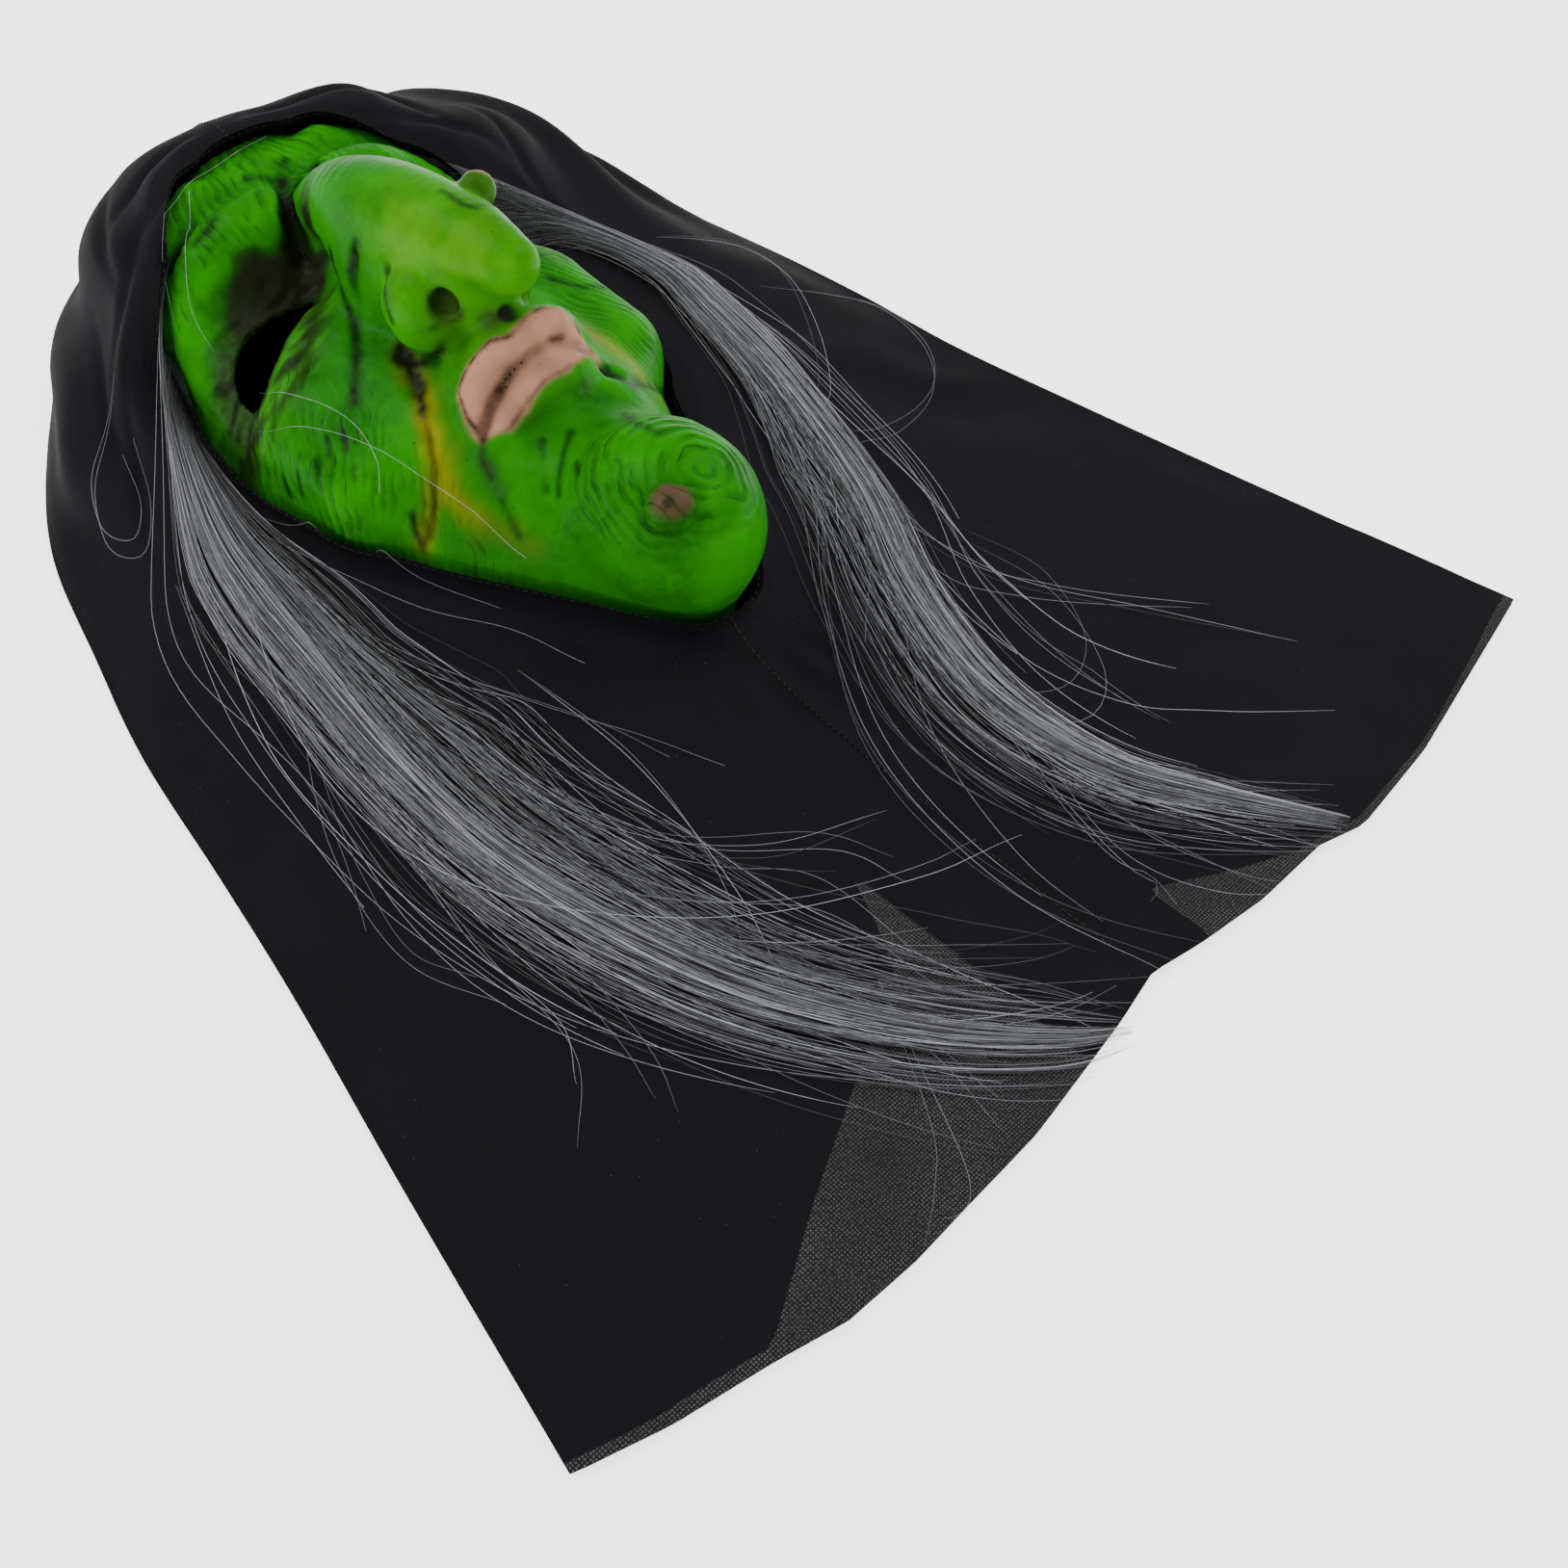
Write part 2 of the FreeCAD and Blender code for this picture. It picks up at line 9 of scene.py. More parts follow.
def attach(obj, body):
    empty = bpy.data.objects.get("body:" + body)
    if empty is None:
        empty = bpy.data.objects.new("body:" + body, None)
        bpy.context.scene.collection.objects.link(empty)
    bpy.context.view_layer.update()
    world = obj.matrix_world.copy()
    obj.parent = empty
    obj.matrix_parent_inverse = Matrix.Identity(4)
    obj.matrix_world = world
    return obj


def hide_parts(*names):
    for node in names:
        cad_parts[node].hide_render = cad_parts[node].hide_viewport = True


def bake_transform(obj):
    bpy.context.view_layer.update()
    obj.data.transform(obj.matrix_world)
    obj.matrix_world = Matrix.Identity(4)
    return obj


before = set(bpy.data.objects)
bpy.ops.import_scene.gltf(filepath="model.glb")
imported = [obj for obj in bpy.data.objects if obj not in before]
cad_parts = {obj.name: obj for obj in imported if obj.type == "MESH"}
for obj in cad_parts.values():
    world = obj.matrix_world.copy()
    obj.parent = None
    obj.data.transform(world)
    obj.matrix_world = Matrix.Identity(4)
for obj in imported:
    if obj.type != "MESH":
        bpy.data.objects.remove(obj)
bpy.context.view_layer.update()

# The visual model of a latex hag mask with a knit hood and cape, lying on its back.
# Shapes are worked out in millimetres in the part's frame and become metres in make_mesh.
# Right and left are the wearer's: right is -X.

MM = 0.001
RANDOM = np.random.default_rng(7)


# --- shared helpers ---


def make_mesh(name, verts, faces, material, smooth=True):
    """A mesh object from vertices in millimetres."""
    mesh = bpy.data.meshes.new(name)
    mesh.from_pydata((np.asarray(verts) * MM).tolist(), [], np.asarray(faces).tolist())
    mesh.update()
    mesh.polygons.foreach_set("use_smooth", np.full(len(mesh.polygons), smooth))
    mesh.materials.append(material)
    thing = bpy.data.objects.new(name, mesh)
    bpy.context.scene.collection.objects.link(thing)
    return thing


def store(thing, name, values):
    """Keeps one number, or one colour, for each vertex."""
    values = np.asarray(values, np.float32)
    if values.ndim == 1:
        thing.data.attributes.new(name, "FLOAT", "POINT").data.foreach_set("value", values)
    else:
        colours = np.concatenate([values, np.ones((len(values), 1), np.float32)], 1)
        layer = thing.data.attributes.new(name, "FLOAT_COLOR", "POINT")
        layer.data.foreach_set("color", colours.ravel())


def smooth_path(keys, count):
    """A smooth curve through the keys, at evenly spaced shares of their number."""
    keys = np.asarray(keys, float)
    padded = np.vstack([2 * keys[0] - keys[1], keys, 2 * keys[-1] - keys[-2]])
    share = np.linspace(0.0, len(keys) - 1.0, count)
    part = np.minimum(share.astype(int), len(keys) - 2)
    t = (share - part)[:, None]
    a, b, c, d = (padded[part + k] for k in range(4))
    return 0.5 * (2 * b + (c - a) * t + (2 * a - 5 * b + 4 * c - d) * t**2 + (3 * b - a - 3 * c + d) * t**3)


def lengths_along(line):
    """How far along a line each of its points lies."""
    return np.concatenate([[0], np.cumsum(np.linalg.norm(np.diff(line, axis=0), axis=1))])


def grid_faces(rows, columns, closed=False):
    """Quads of a grid of vertices that was stored row by row."""
    last = columns if closed else columns - 1
    i, j = np.meshgrid(np.arange(rows - 1), np.arange(last), indexing="ij")
    a, b = i * columns + j, i * columns + (j + 1) % columns
    return np.stack([a, b, b + columns, a + columns], -1).reshape(-1, 4)


def hashed(cells, seed):
    """A repeatable random number for each whole-number cell."""
    mix = cells @ np.array((374761393, 668265263, 2147483647)) + seed * 1274126177
    mix = (mix ^ (mix >> 13)) * 1274126177
    return ((mix ^ (mix >> 16)) & 0xFFFFFF) / float(0xFFFFFF)


def corner_mean(base, t, value_at):
    """The values at the eight corners of each cell, weighted by how near the spot at t is to them."""
    total = np.zeros(len(base))
    for corner in range(8):
        bits = np.array([corner & 1, corner >> 1 & 1, corner >> 2 & 1])
        total += np.prod(np.where(bits, t, 1 - t), axis=1) * value_at(base + bits)
    return total


def noise(spots, size, seed=0):
    """Smooth noise from 0 to 1 with features of about the given size in millimetres."""
    spots = np.asarray(spots, float) / size
    base = np.floor(spots).astype(np.int64)
    t = spots - base
    return corner_mean(base, t * t * (3 - 2 * t), lambda cells: hashed(cells, seed))


def near_line(spots, line):
    """The distance from each spot to a line through the given points."""
    line = np.asarray(line, float)
    best = np.full(len(spots), 1e9)
    for a, b in zip(line, line[1:]):
        span = b - a
        share = np.clip((spots - a) @ span / max(span @ span, 1e-9), 0, 1)
        best = np.minimum(best, np.linalg.norm(spots - (a + share[:, None] * span), axis=1))
    return best


def in_outline(spots, outline):
    """Which (x, y) spots lie inside a closed outline."""
    outline = np.array(outline, float)
    inside = np.zeros(len(spots), bool)
    for (x0, y0), (x1, y1) in zip(outline, np.roll(outline, -1, axis=0)):
        crosses = (y0 > spots[:, 1]) != (y1 > spots[:, 1])
        edge_x = x0 + (spots[:, 1] - y0) * (x1 - x0) / (y1 - y0 if y1 != y0 else 1e-9)
        inside ^= crosses & (spots[:, 0] < edge_x)
    return inside


# --- materials ---


class Looks:
    """A material and its nodes, with short ways to add and join them."""

    def __init__(self, name):
        self.material = bpy.data.materials.new(name)
        self.material.use_nodes = True
        self.tree = self.material.node_tree
        self.shader = self.tree.nodes["Principled BSDF"]

    def fill(self, socket, value):
        """Gives a socket a number, a colour, or what another node puts out."""
        if isinstance(value, bpy.types.NodeSocket):
            self.tree.links.new(value, socket)
        else:
            socket.default_value = (*value, 1.0) if isinstance(value, tuple) else value

    def set(self, **values):
        for name, value in values.items():
            self.fill(self.shader.inputs[name.replace("_", " ")], value)
        return self

    def node(self, kind, out, inputs, **settings):
        node = self.tree.nodes.new("ShaderNode" + kind)
        for name, value in settings.items():
            setattr(node, name, value)
        for name, value in inputs.items():
            self.fill(node.inputs[name], value)
        return node.outputs[out]

    def attribute(self, name, out="Fac"):
        return self.node("Attribute", out, {}, attribute_name=name)

    def texture(self, kind, out, scale, where=None, **inputs):
        """A texture in the object's own space. Its scale is in features per metre."""
        where = where or self.node("TexCoord", "Object", {})
        return self.node("Tex" + kind, out, {"Scale": scale, "Vector": where, **inputs})

    def noise(self, scale, detail=3.0):
        return self.texture("Noise", "Fac", scale, Detail=detail)

    def cells(self, scale, randomness=1.0, where=None):
        return self.texture("Voronoi", "Distance", scale, where, Randomness=randomness)

    def spread(self, value, low, high, out_low=0.0, out_high=1.0):
        limits = {"From Min": low, "From Max": high, "To Min": out_low, "To Max": out_high}
        return self.node("MapRange", "Result", {"Value": value, **limits})

    def maths(self, operation, first, second):
        return self.node("Math", "Value", {0: first, 1: second}, operation=operation)

    def times(self, first, second):
        return self.maths("MULTIPLY", first, second)

    def mix(self, share, first, second):
        return self.node("Mix", 2, {0: share, 6: first, 7: second}, data_type="RGBA")

    def bump(self, height, distance, strength):
        return self.node("Bump", "Normal", {"Height": height, "Distance": distance, "Strength": strength})


def latex_look():
    """Painted latex. Its airbrushed colour and its folds come with the mesh."""
    looks = Looks("painted_latex").set(Coat_Weight=0.035, Coat_Roughness=0.12, Specular_IOR_Level=0.03)
    paint = looks.attribute("paint", "Color")
    mottle = looks.spread(looks.noise(95.0, 4.0), 0.35, 0.7)
    fine = looks.spread(looks.noise(700.0, 2.0), 0.45, 0.75)
    shade = looks.maths("ADD", looks.times(mottle, 0.28), 0.78)
    toned = looks.mix(shade, (0.004, 0.012, 0.002), paint)
    specks = looks.spread(looks.cells(260.0), 0.0, 0.16, 1.0, 0.0)
    rare = looks.spread(looks.noise(140.0, 1.0), 0.60, 0.66)
    speckled = looks.mix(looks.times(specks, rare), toned, (0.006, 0.020, 0.002))
    gloss = looks.attribute("gloss")
    looks.set(Roughness=looks.maths("ADD", gloss, looks.times(mottle, 0.12)))
    phase = looks.attribute("fold_phase")
    share = looks.attribute("fold_share")
    ridge = looks.maths("ABSOLUTE", looks.maths("SINE", looks.times(phase, 0.5), 0.0), 0.0)
    crease = looks.maths("POWER", looks.maths("SUBTRACT", 1.0, ridge), 3.0)
    broken = looks.spread(looks.noise(160.0, 2.0), 0.42, 0.62)
    crease = looks.times(looks.times(crease, broken), share)
    looks.set(Base_Color=looks.mix(looks.times(crease, 0.8), speckled, (0.004, 0.010, 0.001)))
    height = looks.maths("ADD", looks.times(fine, 0.4), looks.noise(240.0, 3.0))
    height = looks.maths("SUBTRACT", height, looks.times(crease, 1.6))
    return looks.set(Normal=looks.bump(height, 0.0004, 0.4)).material


def knit_look(name, tint=(0.0030, 0.0029, 0.0045)):
    """Fine black jersey with specks of lint, and a paler mesh where one layer lies on white: painted light
    for the white floor seen through its holes.
    """
    looks = Looks(name).set(Roughness=0.85, Specular_IOR_Level=0.16)
    cloudy = looks.spread(looks.noise(28.0, 3.0), 0.3, 0.75)
    ground = looks.mix(cloudy, tint, tuple(1.6 * part for part in tint))
    laid_flat = looks.attribute("laid_flat", "Color")
    holes = looks.spread(looks.cells(1000.0, 0.22, laid_flat), 0.10, 0.40, 1.0, 0.0)
    single = looks.spread(looks.attribute("single"), 0.485, 0.515)
    uneven = looks.maths("ADD", looks.times(cloudy, 0.55), 0.45)
    # painted light: where one layer lies on the floor, the knit is painted paler and its holes pale grey,
    # standing for the white floor seen through them
    open_mesh = looks.times(looks.times(holes, uneven), single)
    ground = looks.mix(looks.times(single, 0.3), ground, (0.030, 0.030, 0.033))
    ground = looks.mix(looks.times(open_mesh, 0.7), ground, (0.20, 0.20, 0.20))
    lint = looks.spread(looks.cells(430.0), 0.0, 0.085, 1.0, 0.0)
    rare = looks.spread(looks.noise(210.0, 1.0), 0.62, 0.66)
    looks.set(Base_Color=looks.mix(looks.times(lint, rare), ground, (0.14, 0.14, 0.15)))
    return looks.set(Normal=looks.bump(looks.cells(1500.0), 0.00035, 0.7)).material


def hair_look():
    """Grey synthetic hair. How pale a strand is comes with its mesh."""
    looks = Looks("grey_hair").set(Roughness=0.38, Specular_IOR_Level=0.6)
    looks.set(Coat_Weight=0.15, Coat_Roughness=0.3)
    tone = looks.attribute("tone")
    looks.set(Base_Color=looks.mix(tone, (0.020, 0.0205, 0.023), (0.62, 0.64, 0.69)))
    return looks.material


def plain_look(name, colour, roughness):
    """One slightly uneven colour."""
    looks = Looks(name).set(Roughness=roughness)
    uneven = looks.spread(looks.noise(300.0, 2.0), 0.3, 0.8)
    looks.set(Base_Color=looks.mix(uneven, colour, tuple(1.8 * part for part in colour)))
    return looks.material


LATEX_LOOK = latex_look()
KNIT_LOOK = knit_look("black_knit")
STRIP_LOOK = knit_look("black_knit_strip", (0.0026, 0.0027, 0.0036))
THREAD_LOOK = plain_look("black_thread", (0.0035, 0.0035, 0.0045), 0.6)
TAPE_LOOK = plain_look("weft_tape", (0.035, 0.035, 0.035), 0.9)
HAIR_LOOK = hair_look()


# --- the face as a signed distance field ---

FACE_LOW = np.array([-92.0, -84.0, 0.0])
FACE_HIGH = np.array([92.0, 216.0, 136.0])
RIM_BASE = 8.0
FACE_TOP = 204.0
WALL = 2.4
# how much further than the wall the back of a groove stands off, as a share of the groove's depth
GROOVE_BACK = 1.2

# y, half width and height of the face's cross-sections, mm
FACE_SECTIONS = np.array([
    (-60.0, 8.0, 44.0), (-44.0, 19.0, 52.0), (-22.0, 33.0, 62.0), (10.0, 50.0, 67.0), (45.0, 67.0, 70.0),
    (85.0, 78.0, 72.0), (125.0, 79.0, 73.0), (160.0, 71.0, 81.0), (185.0, 61.0, 86.0), (204.0, 50.0, 83.0),
    (222.0, 40.0, 78.0),
])


def smooth_min(a, b, k):
    h = np.clip(0.5 + 0.5 * (b - a) / k, 0.0, 1.0)
    return b + (a - b) * h - k * h * (1.0 - h)


def smooth_max(a, b, k):
    return -smooth_min(-a, -b, k)


class Field:
    """A signed distance field on a grid, in mm. It is negative inside."""

    def __init__(self, low, high, step):
        self.low, self.step = np.array(low, float), step
        self.count = [int((b - a) / step) + 1 for a, b in zip(low, high)]
        self.axes = [a + step * np.arange(n, dtype=np.float32) for a, n in zip(low, self.count)]
        self.value = np.full(self.count, 1e3, np.float32)

    def window(self, low, high):
        parts = []
        for axis in range(3):
            first = int(np.clip((low[axis] - self.low[axis]) / self.step, 0, self.count[axis]))
            last = int(np.clip((high[axis] - self.low[axis]) / self.step + 2, 0, self.count[axis]))
            parts.append(slice(first, last))
        grids = np.meshgrid(*[self.axes[i][parts[i]] for i in range(3)], indexing="ij", sparse=True)
        return tuple(parts), grids

    def tube(self, spots, blend):
        """Adds a chain of round cones. spots holds (x, y, z, radius)."""
        spots = smooth_path(spots, 4 * len(spots) - 3)
        reach = spots[:, 3].max() + 2.5 * blend + 4.0
        part, grids = self.window(spots[:, :3].min(0) - reach, spots[:, :3].max(0) + reach)
        self.value[part] = smooth_min(self.value[part], chain_distance(grids, spots), blend)

    def ball(self, at, radii, blend, carve=False):
        """Adds or carves an ellipsoid."""
        radii = np.array(radii, float)
        reach = radii + 2.5 * blend + 4.0
        part, grids = self.window(np.array(at) - reach, np.array(at) + reach)
        share = np.sqrt(sum(((g - c) / r) ** 2 for g, c, r in zip(grids, at, radii)))
        distance = (share - 1.0) * radii.min() * (1.0 + 0.35 * (radii.max() / radii.min() - 1.0))
        if carve:
            self.value[part] = smooth_max(self.value[part], -distance, blend)
        else:
            self.value[part] = smooth_min(self.value[part], distance, blend)

    def stroke(self, spots, width, depth):
        """Presses a soft groove along a line into the surface, or raises a ridge if depth is negative."""
        spots = np.array(spots, float)
        reach = 3.0 * width
        part, grids = self.window(spots.min(0) - reach, spots.max(0) + reach)
        near = chain_distance(grids, np.pad(spots, ((0, 0), (0, 1))))
        self.value[part] += depth * np.exp(-((near / width) ** 2))


def chain_distance(grids, spots):
    """The distance to a chain of round cones through spots given as (x, y, z, radius)."""
    near = None
    for a, b in zip(spots, spots[1:]):
        line = b[:3] - a[:3]
        length = max(float(line @ line), 1e-6)
        share = sum((g - p) * d for g, p, d in zip(grids, a, line)) / length
        share = np.clip(share, 0.0, 1.0)
        squares = sum((g - (p + share * d)) ** 2 for g, p, d in zip(grids, a, line))
        distance = np.sqrt(squares) - (a[3] + share * (b[3] - a[3]))
        near = distance if near is None else np.minimum(near, distance)
    return near


def base_form(field):
    """The plain oval dome of the mask, before its features."""
    part, (x, y, z) = field.window(FACE_LOW, FACE_HIGH)
    fine = np.linspace(-100.0, 240.0, 681)
    kernel = np.exp(-np.linspace(-2.5, 2.5, 61) ** 2)
    kernel /= kernel.sum()

    def blurred_section(column):
        sizes = np.interp(fine, FACE_SECTIONS[:, 0], FACE_SECTIONS[:, column])
        return np.interp(y, fine, np.convolve(np.pad(sizes, 30, "edge"), kernel, "valid"))

    half, tall = blurred_section(1), blurred_section(2)
    share = ((np.abs(x) / half) ** 2.4 + (np.maximum(z, 0.0) / tall) ** 2.4) ** (1 / 2.4)
    distance = (share - 1.0) * np.minimum(half, tall) * 0.9
    field.value = smooth_max(distance, -60.0 - y, 10.0).astype(np.float32)


NOSE = [(0, 153, 79, 8.5), (0, 145, 84, 11.5), (0, 130, 92, 15.5), (0, 115, 97, 18), (0, 97, 102, 18.5),
        (0, 79, 106, 17.5), (0, 60, 110, 15.5), (0, 47, 112.5, 12.5), (0, 36, 113.5, 10)]
BROW = [(15, 160, 78, 12.5), (30, 162, 73, 14), (44, 162, 62, 14.5), (53, 152, 53, 13.5), (59, 135, 45, 12.5),
        (62, 114, 39, 11), (60, 98, 37, 8)]
LID = [(22, 125, 60, 5), (33, 115, 60, 7), (47, 105, 56, 8), (59, 97, 49, 7), (67, 95, 42, 5)]
UPPER_LIP = [(-25, 32, 68, 4), (-17, 36, 77, 6.5), (-6, 36, 83, 7.5), (6, 36, 84, 7.5), (16, 37, 81, 6.5),
             (26, 40, 69, 4)]
LOWER_LIP = [(-23, 23, 62, 4), (-9, 22, 68, 7), (9, 23, 68.5, 7), (23, 32, 63, 4)]
# the line where the lips meet: a groove in the latex and a dark line of paint
LIP_PART = [(-27, 25, 66), (-20, 27, 74), (-11, 27, 81), (-2, 27, 84), (6, 27, 84), (15, 27, 79),
            (24, 28, 70)]
EYE_HOLE = {"x": 42.6, "y": 117.2, "long": 25.0, "rise": 17.0, "drop": 3.0, "tilt": 28.0}


def eye_distance(x, y, side):
    """How far a point lies from the eye hole, seen from the front. It is negative inside.

    The hole is a slanted half oval: nearly straight along the lower lid and arched above it.
    """
    turn = math.radians(EYE_HOLE["tilt"])
    across, up = side * x - EYE_HOLE["x"], y - EYE_HOLE["y"]
    along = (across * math.cos(turn) - up * math.sin(turn)) / EYE_HOLE["long"]
    athwart = across * math.sin(turn) + up * math.cos(turn)
    athwart = np.where(athwart > 0, athwart / EYE_HOLE["rise"], athwart / EYE_HOLE["drop"])
    share = np.sqrt(np.abs(along) ** 1.9 + np.abs(athwart) ** 2)
    return (share - 1.0) * 9.0


# x, y, z of soft grooves in the latex, with their width and depth. A negative depth raises a ridge.
GROOVES = [
    ([(0, 172, 84), (-6, 163, 86), (-12, 150, 84), (-16, 140, 72)], 3.4, 4.6),
    ([(-26, 178, 84), (-14, 178, 86), (-5, 166, 88)], 2.6, 3.0),
    ([(-24, 170, 86), (-38, 176, 80), (-52, 172, 70)], 2.8, 3.0),
    ([(-20, 80, 99), (-24, 76, 90), (-26, 72, 78), (-26, 64, 71)], 2.2, 3.0),
    ([(-23, 74, 70), (-26, 66, 72), (-30, 58, 69)], 3.6, 3.4),
    ([(-30, 58, 69), (-36, 46, 65), (-42, 34, 55), (-47, 29, 46), (-53, 27, 35)], 2.4, 1.1),
    ([(-20, 98, 96), (-23, 100, 78), (-26, 94, 72), (-38, 79, 70), (-49, 65, 68)], 2.4, 2.4),
    ([(-30, 104, 62), (-46, 95, 60), (-60, 91, 52)], 3.0, 2.0),
    ([(0, 50, 90), (0, 40, 92)], 3.0, 2.2),
    (LIP_PART, 1.5, 2.6),
    ([(-18, 11, 70), (0, 9, 78), (18, 12, 70)], 6.0, 3.0),
    ([(22, 26, 66), (34, 20, 60), (50, 24, 44)], 2.6, 2.6),
    ([(4, 178, 86), (10, 168, 86), (12, 152, 84)], 3.0, 3.0),
    ([(24, 172, 86), (38, 176, 80), (52, 172, 70)], 2.8, 3.0),
]


def build_face(step):
    field = Field(FACE_LOW, FACE_HIGH, step)
    base_form(field)
    field.tube(NOSE, 7.0)
    field.tube([(0, 104, 84, 21), (0, 80, 86, 18), (0, 64, 90, 12)], 9.0)
    field.ball((0, 57, 96), (17, 15, 13), 6.0)
    field.tube([(0, 60, 90, 9), (0, 50, 88, 7)], 6.0)
    for side in (1, -1):
        field.ball((side * 17, 68, 88), (10.5, 15, 15), 4.0)
        field.tube([(side * x, y, z, r) for x, y, z, r in BROW], 6.0)
        field.tube([(side * 28, 188, 76, 9), (side * 48, 182, 66, 9), (side * 61, 168, 50, 8)], 6.0)
        field.ball((side * 39, 130, 75), (26, 16, 17), 6.0, carve=True)
        field.tube([(side * x, y, z, r) for x, y, z, r in LID], 5.0)
        field.tube([(side * 52, 90, 44, 16 + side), (side * 55, 57, 37, 17 + 1.5 * side)], 12.0)
    # muzzle and mouth
    field.ball((0, 40, 66), (27, 21, 21), 9.0)
    field.tube(UPPER_LIP, 5.0)
    field.tube(LOWER_LIP, 5.0)
    # chin, then the warts on the nose and the chin
    field.ball((3, -34, 50), (29, 34, 31), 12.0)
    field.ball((17, 73, 116), (6.5, 6.5, 6.5), 2.0)
    field.ball((-12, -51, 72), (8.5, 8.5, 7.5), 1.5)
    # the form before its grooves, which the inside of the latex follows
    field.core = field.value.copy()
    for spots, width, depth in GROOVES:
        field.stroke(spots, width, depth)
    for side in (1, -1):
        field.ball((side * 16, 53, 98), (4.4, 5.8, 5.0), 1.4, carve=True)
    return field


def surface_net(field, step, low):
    """The zero surface of a grid field as vertices and quads, one vertex in each cell that it crosses."""
    inside = field < 0
    nx, ny, nz = field.shape
    corners = [(i, j, k) for i in (0, 1) for j in (0, 1) for k in (0, 1)]
    count = np.zeros((nx - 1, ny - 1, nz - 1), np.int8)
    for i, j, k in corners:
        count += inside[i:nx - 1 + i, j:ny - 1 + j, k:nz - 1 + k]
    cells = np.argwhere((count > 0) & (count < 8))
    number = np.full(count.shape, -1, np.int32)
    number[tuple(cells.T)] = np.arange(len(cells))
    total = np.zeros((len(cells), 3))
    hits = np.zeros(len(cells))
    for a in corners:
        for axis in range(3):
            if a[axis]:
                continue
            b = list(a)
            b[axis] = 1
            va = field[tuple((cells + a).T)]
            vb = field[tuple((cells + b).T)]
            cross = (va < 0) != (vb < 0)
            share = np.where(cross, va / np.where(cross, va - vb, 1.0), 0.0)
            spot = cells + np.array(a, float)
            spot[:, axis] += share
            total[cross] += spot[cross]
            hits += cross
    verts = total / hits[:, None] * step + low
    quads = []
    for axis in range(3):
        u, v = (axis + 1) % 3, (axis + 2) % 3
        first = np.moveaxis(inside, axis, 0)[:-1]
        last = np.moveaxis(inside, axis, 0)[1:]
        edges = np.argwhere(np.moveaxis(first != last, 0, axis))
        keep = (edges[:, u] > 0) & (edges[:, v] > 0)
        keep &= (edges[:, u] < count.shape[u]) & (edges[:, v] < count.shape[v])
        edges = edges[keep]
        ring = []
        for du, dv in ((-1, -1), (0, -1), (0, 0), (-1, 0)):
            cell = edges.copy()
            cell[:, u] += du
            cell[:, v] += dv
            ring.append(number[tuple(cell.T)])
        ring = np.stack(ring, 1)
        flip = inside[tuple(edges.T)]
        ring[~flip] = ring[~flip][:, ::-1]
        quads.append(ring)
    return verts, np.concatenate(quads)


def blurred(values, reach):
    """The mean of a grid over a cube of 2 * reach + 1 cells."""
    for axis in range(3):
        rows = np.moveaxis(values, axis, 0)
        padded = np.concatenate([rows[:1].repeat(reach + 1, 0), rows, rows[-1:].repeat(reach, 0)])
        total = np.cumsum(padded, 0, dtype=np.float64)
        rows = (total[2 * reach + 1:] - total[:-2 * reach - 1]) / (2 * reach + 1)
        values = np.moveaxis(rows.astype(np.float32), 0, axis)
    return values


def sampled(field, values, spots):
    """Values of a grid at the given spots, by straight-line blending between its points."""
    share = (spots - field.low) / field.step
    base = np.clip(share.astype(int), 0, np.array(field.count) - 2)
    return corner_mean(base, np.clip(share - base, 0, 1), lambda cells: values[tuple(cells.T)])


def way_out(spots):
    """The direction straight out of the face at each spot."""
    way = np.stack([sampled(face_field, part, spots) for part in FACE_SLOPES], 1)
    return way / np.maximum(np.linalg.norm(way, axis=1, keepdims=True), 1e-6)


def soft_step(low, high, value):
    share = np.clip((value - low) / (high - low), 0, 1)
    return share * share * (3 - 2 * share)


FACE_STEP = 1.0
face_field = build_face(FACE_STEP)
gx, gy, gz = np.meshgrid(*face_field.axes, indexing="ij", sparse=True)
face_solid = face_field.value
FACE_SLOPES = np.gradient(face_solid, FACE_STEP)
face_hollow = face_field.core + WALL + GROOVE_BACK * np.maximum(face_solid - face_field.core, 0.0)
face_shell = np.maximum(face_solid, -face_hollow)
for side in (1, -1):
    face_shell = np.maximum(face_shell, -eye_distance(gx, gy, side))
face_shell = np.maximum(np.maximum(face_shell, RIM_BASE - gz), gy - FACE_TOP)
face_verts, face_quads = surface_net(face_shell, FACE_STEP, FACE_LOW)

# how far each spot lies in a crease: the field's mean around it less its own value
crease_grid = blurred(face_solid, int(4 / FACE_STEP)) - face_solid
wide_grid = blurred(face_solid, int(9 / FACE_STEP)) - face_solid
crease = -sampled(face_field, crease_grid, face_verts)
hollow_way = -sampled(face_field, wide_grid, face_verts)
groove = sampled(face_field, face_solid - face_field.core, face_verts)
# the inner surface lies a wall's thickness down, so half of that tells the two apart
outside = sampled(face_field, face_solid, face_verts) > -0.5 * WALL

# fine wrinkles: rings on the chin, folds across the brows, slanted lines on the cheeks
slopes = way_out(face_verts)
warp = 9.0 * (noise(face_verts, 15.0, 3) - 0.5) + 2.0 * (noise(face_verts, 5.0, 4) - 0.5)
rings = np.linalg.norm((face_verts - (3, -50, 74)) * (1.0, 0.8, 0.7), axis=1) + warp
on_chin = 1 - soft_step(24, 40, np.linalg.norm(face_verts - (3, -34, 72), axis=1))
x_side = np.abs(face_verts[:, 0])
slant = (-0.75 * x_side - 0.66 * face_verts[:, 1]) + warp
on_cheek = soft_step(34, 50, x_side) * (1 - soft_step(96, 112, face_verts[:, 1]))
across_brow = x_side + 0.25 * face_verts[:, 1] + warp
far_brow = soft_step(14, 24, face_verts[:, 0]) * soft_step(92, 104, face_verts[:, 1])
on_brow = np.maximum(soft_step(146, 152, face_verts[:, 1]), far_brow)
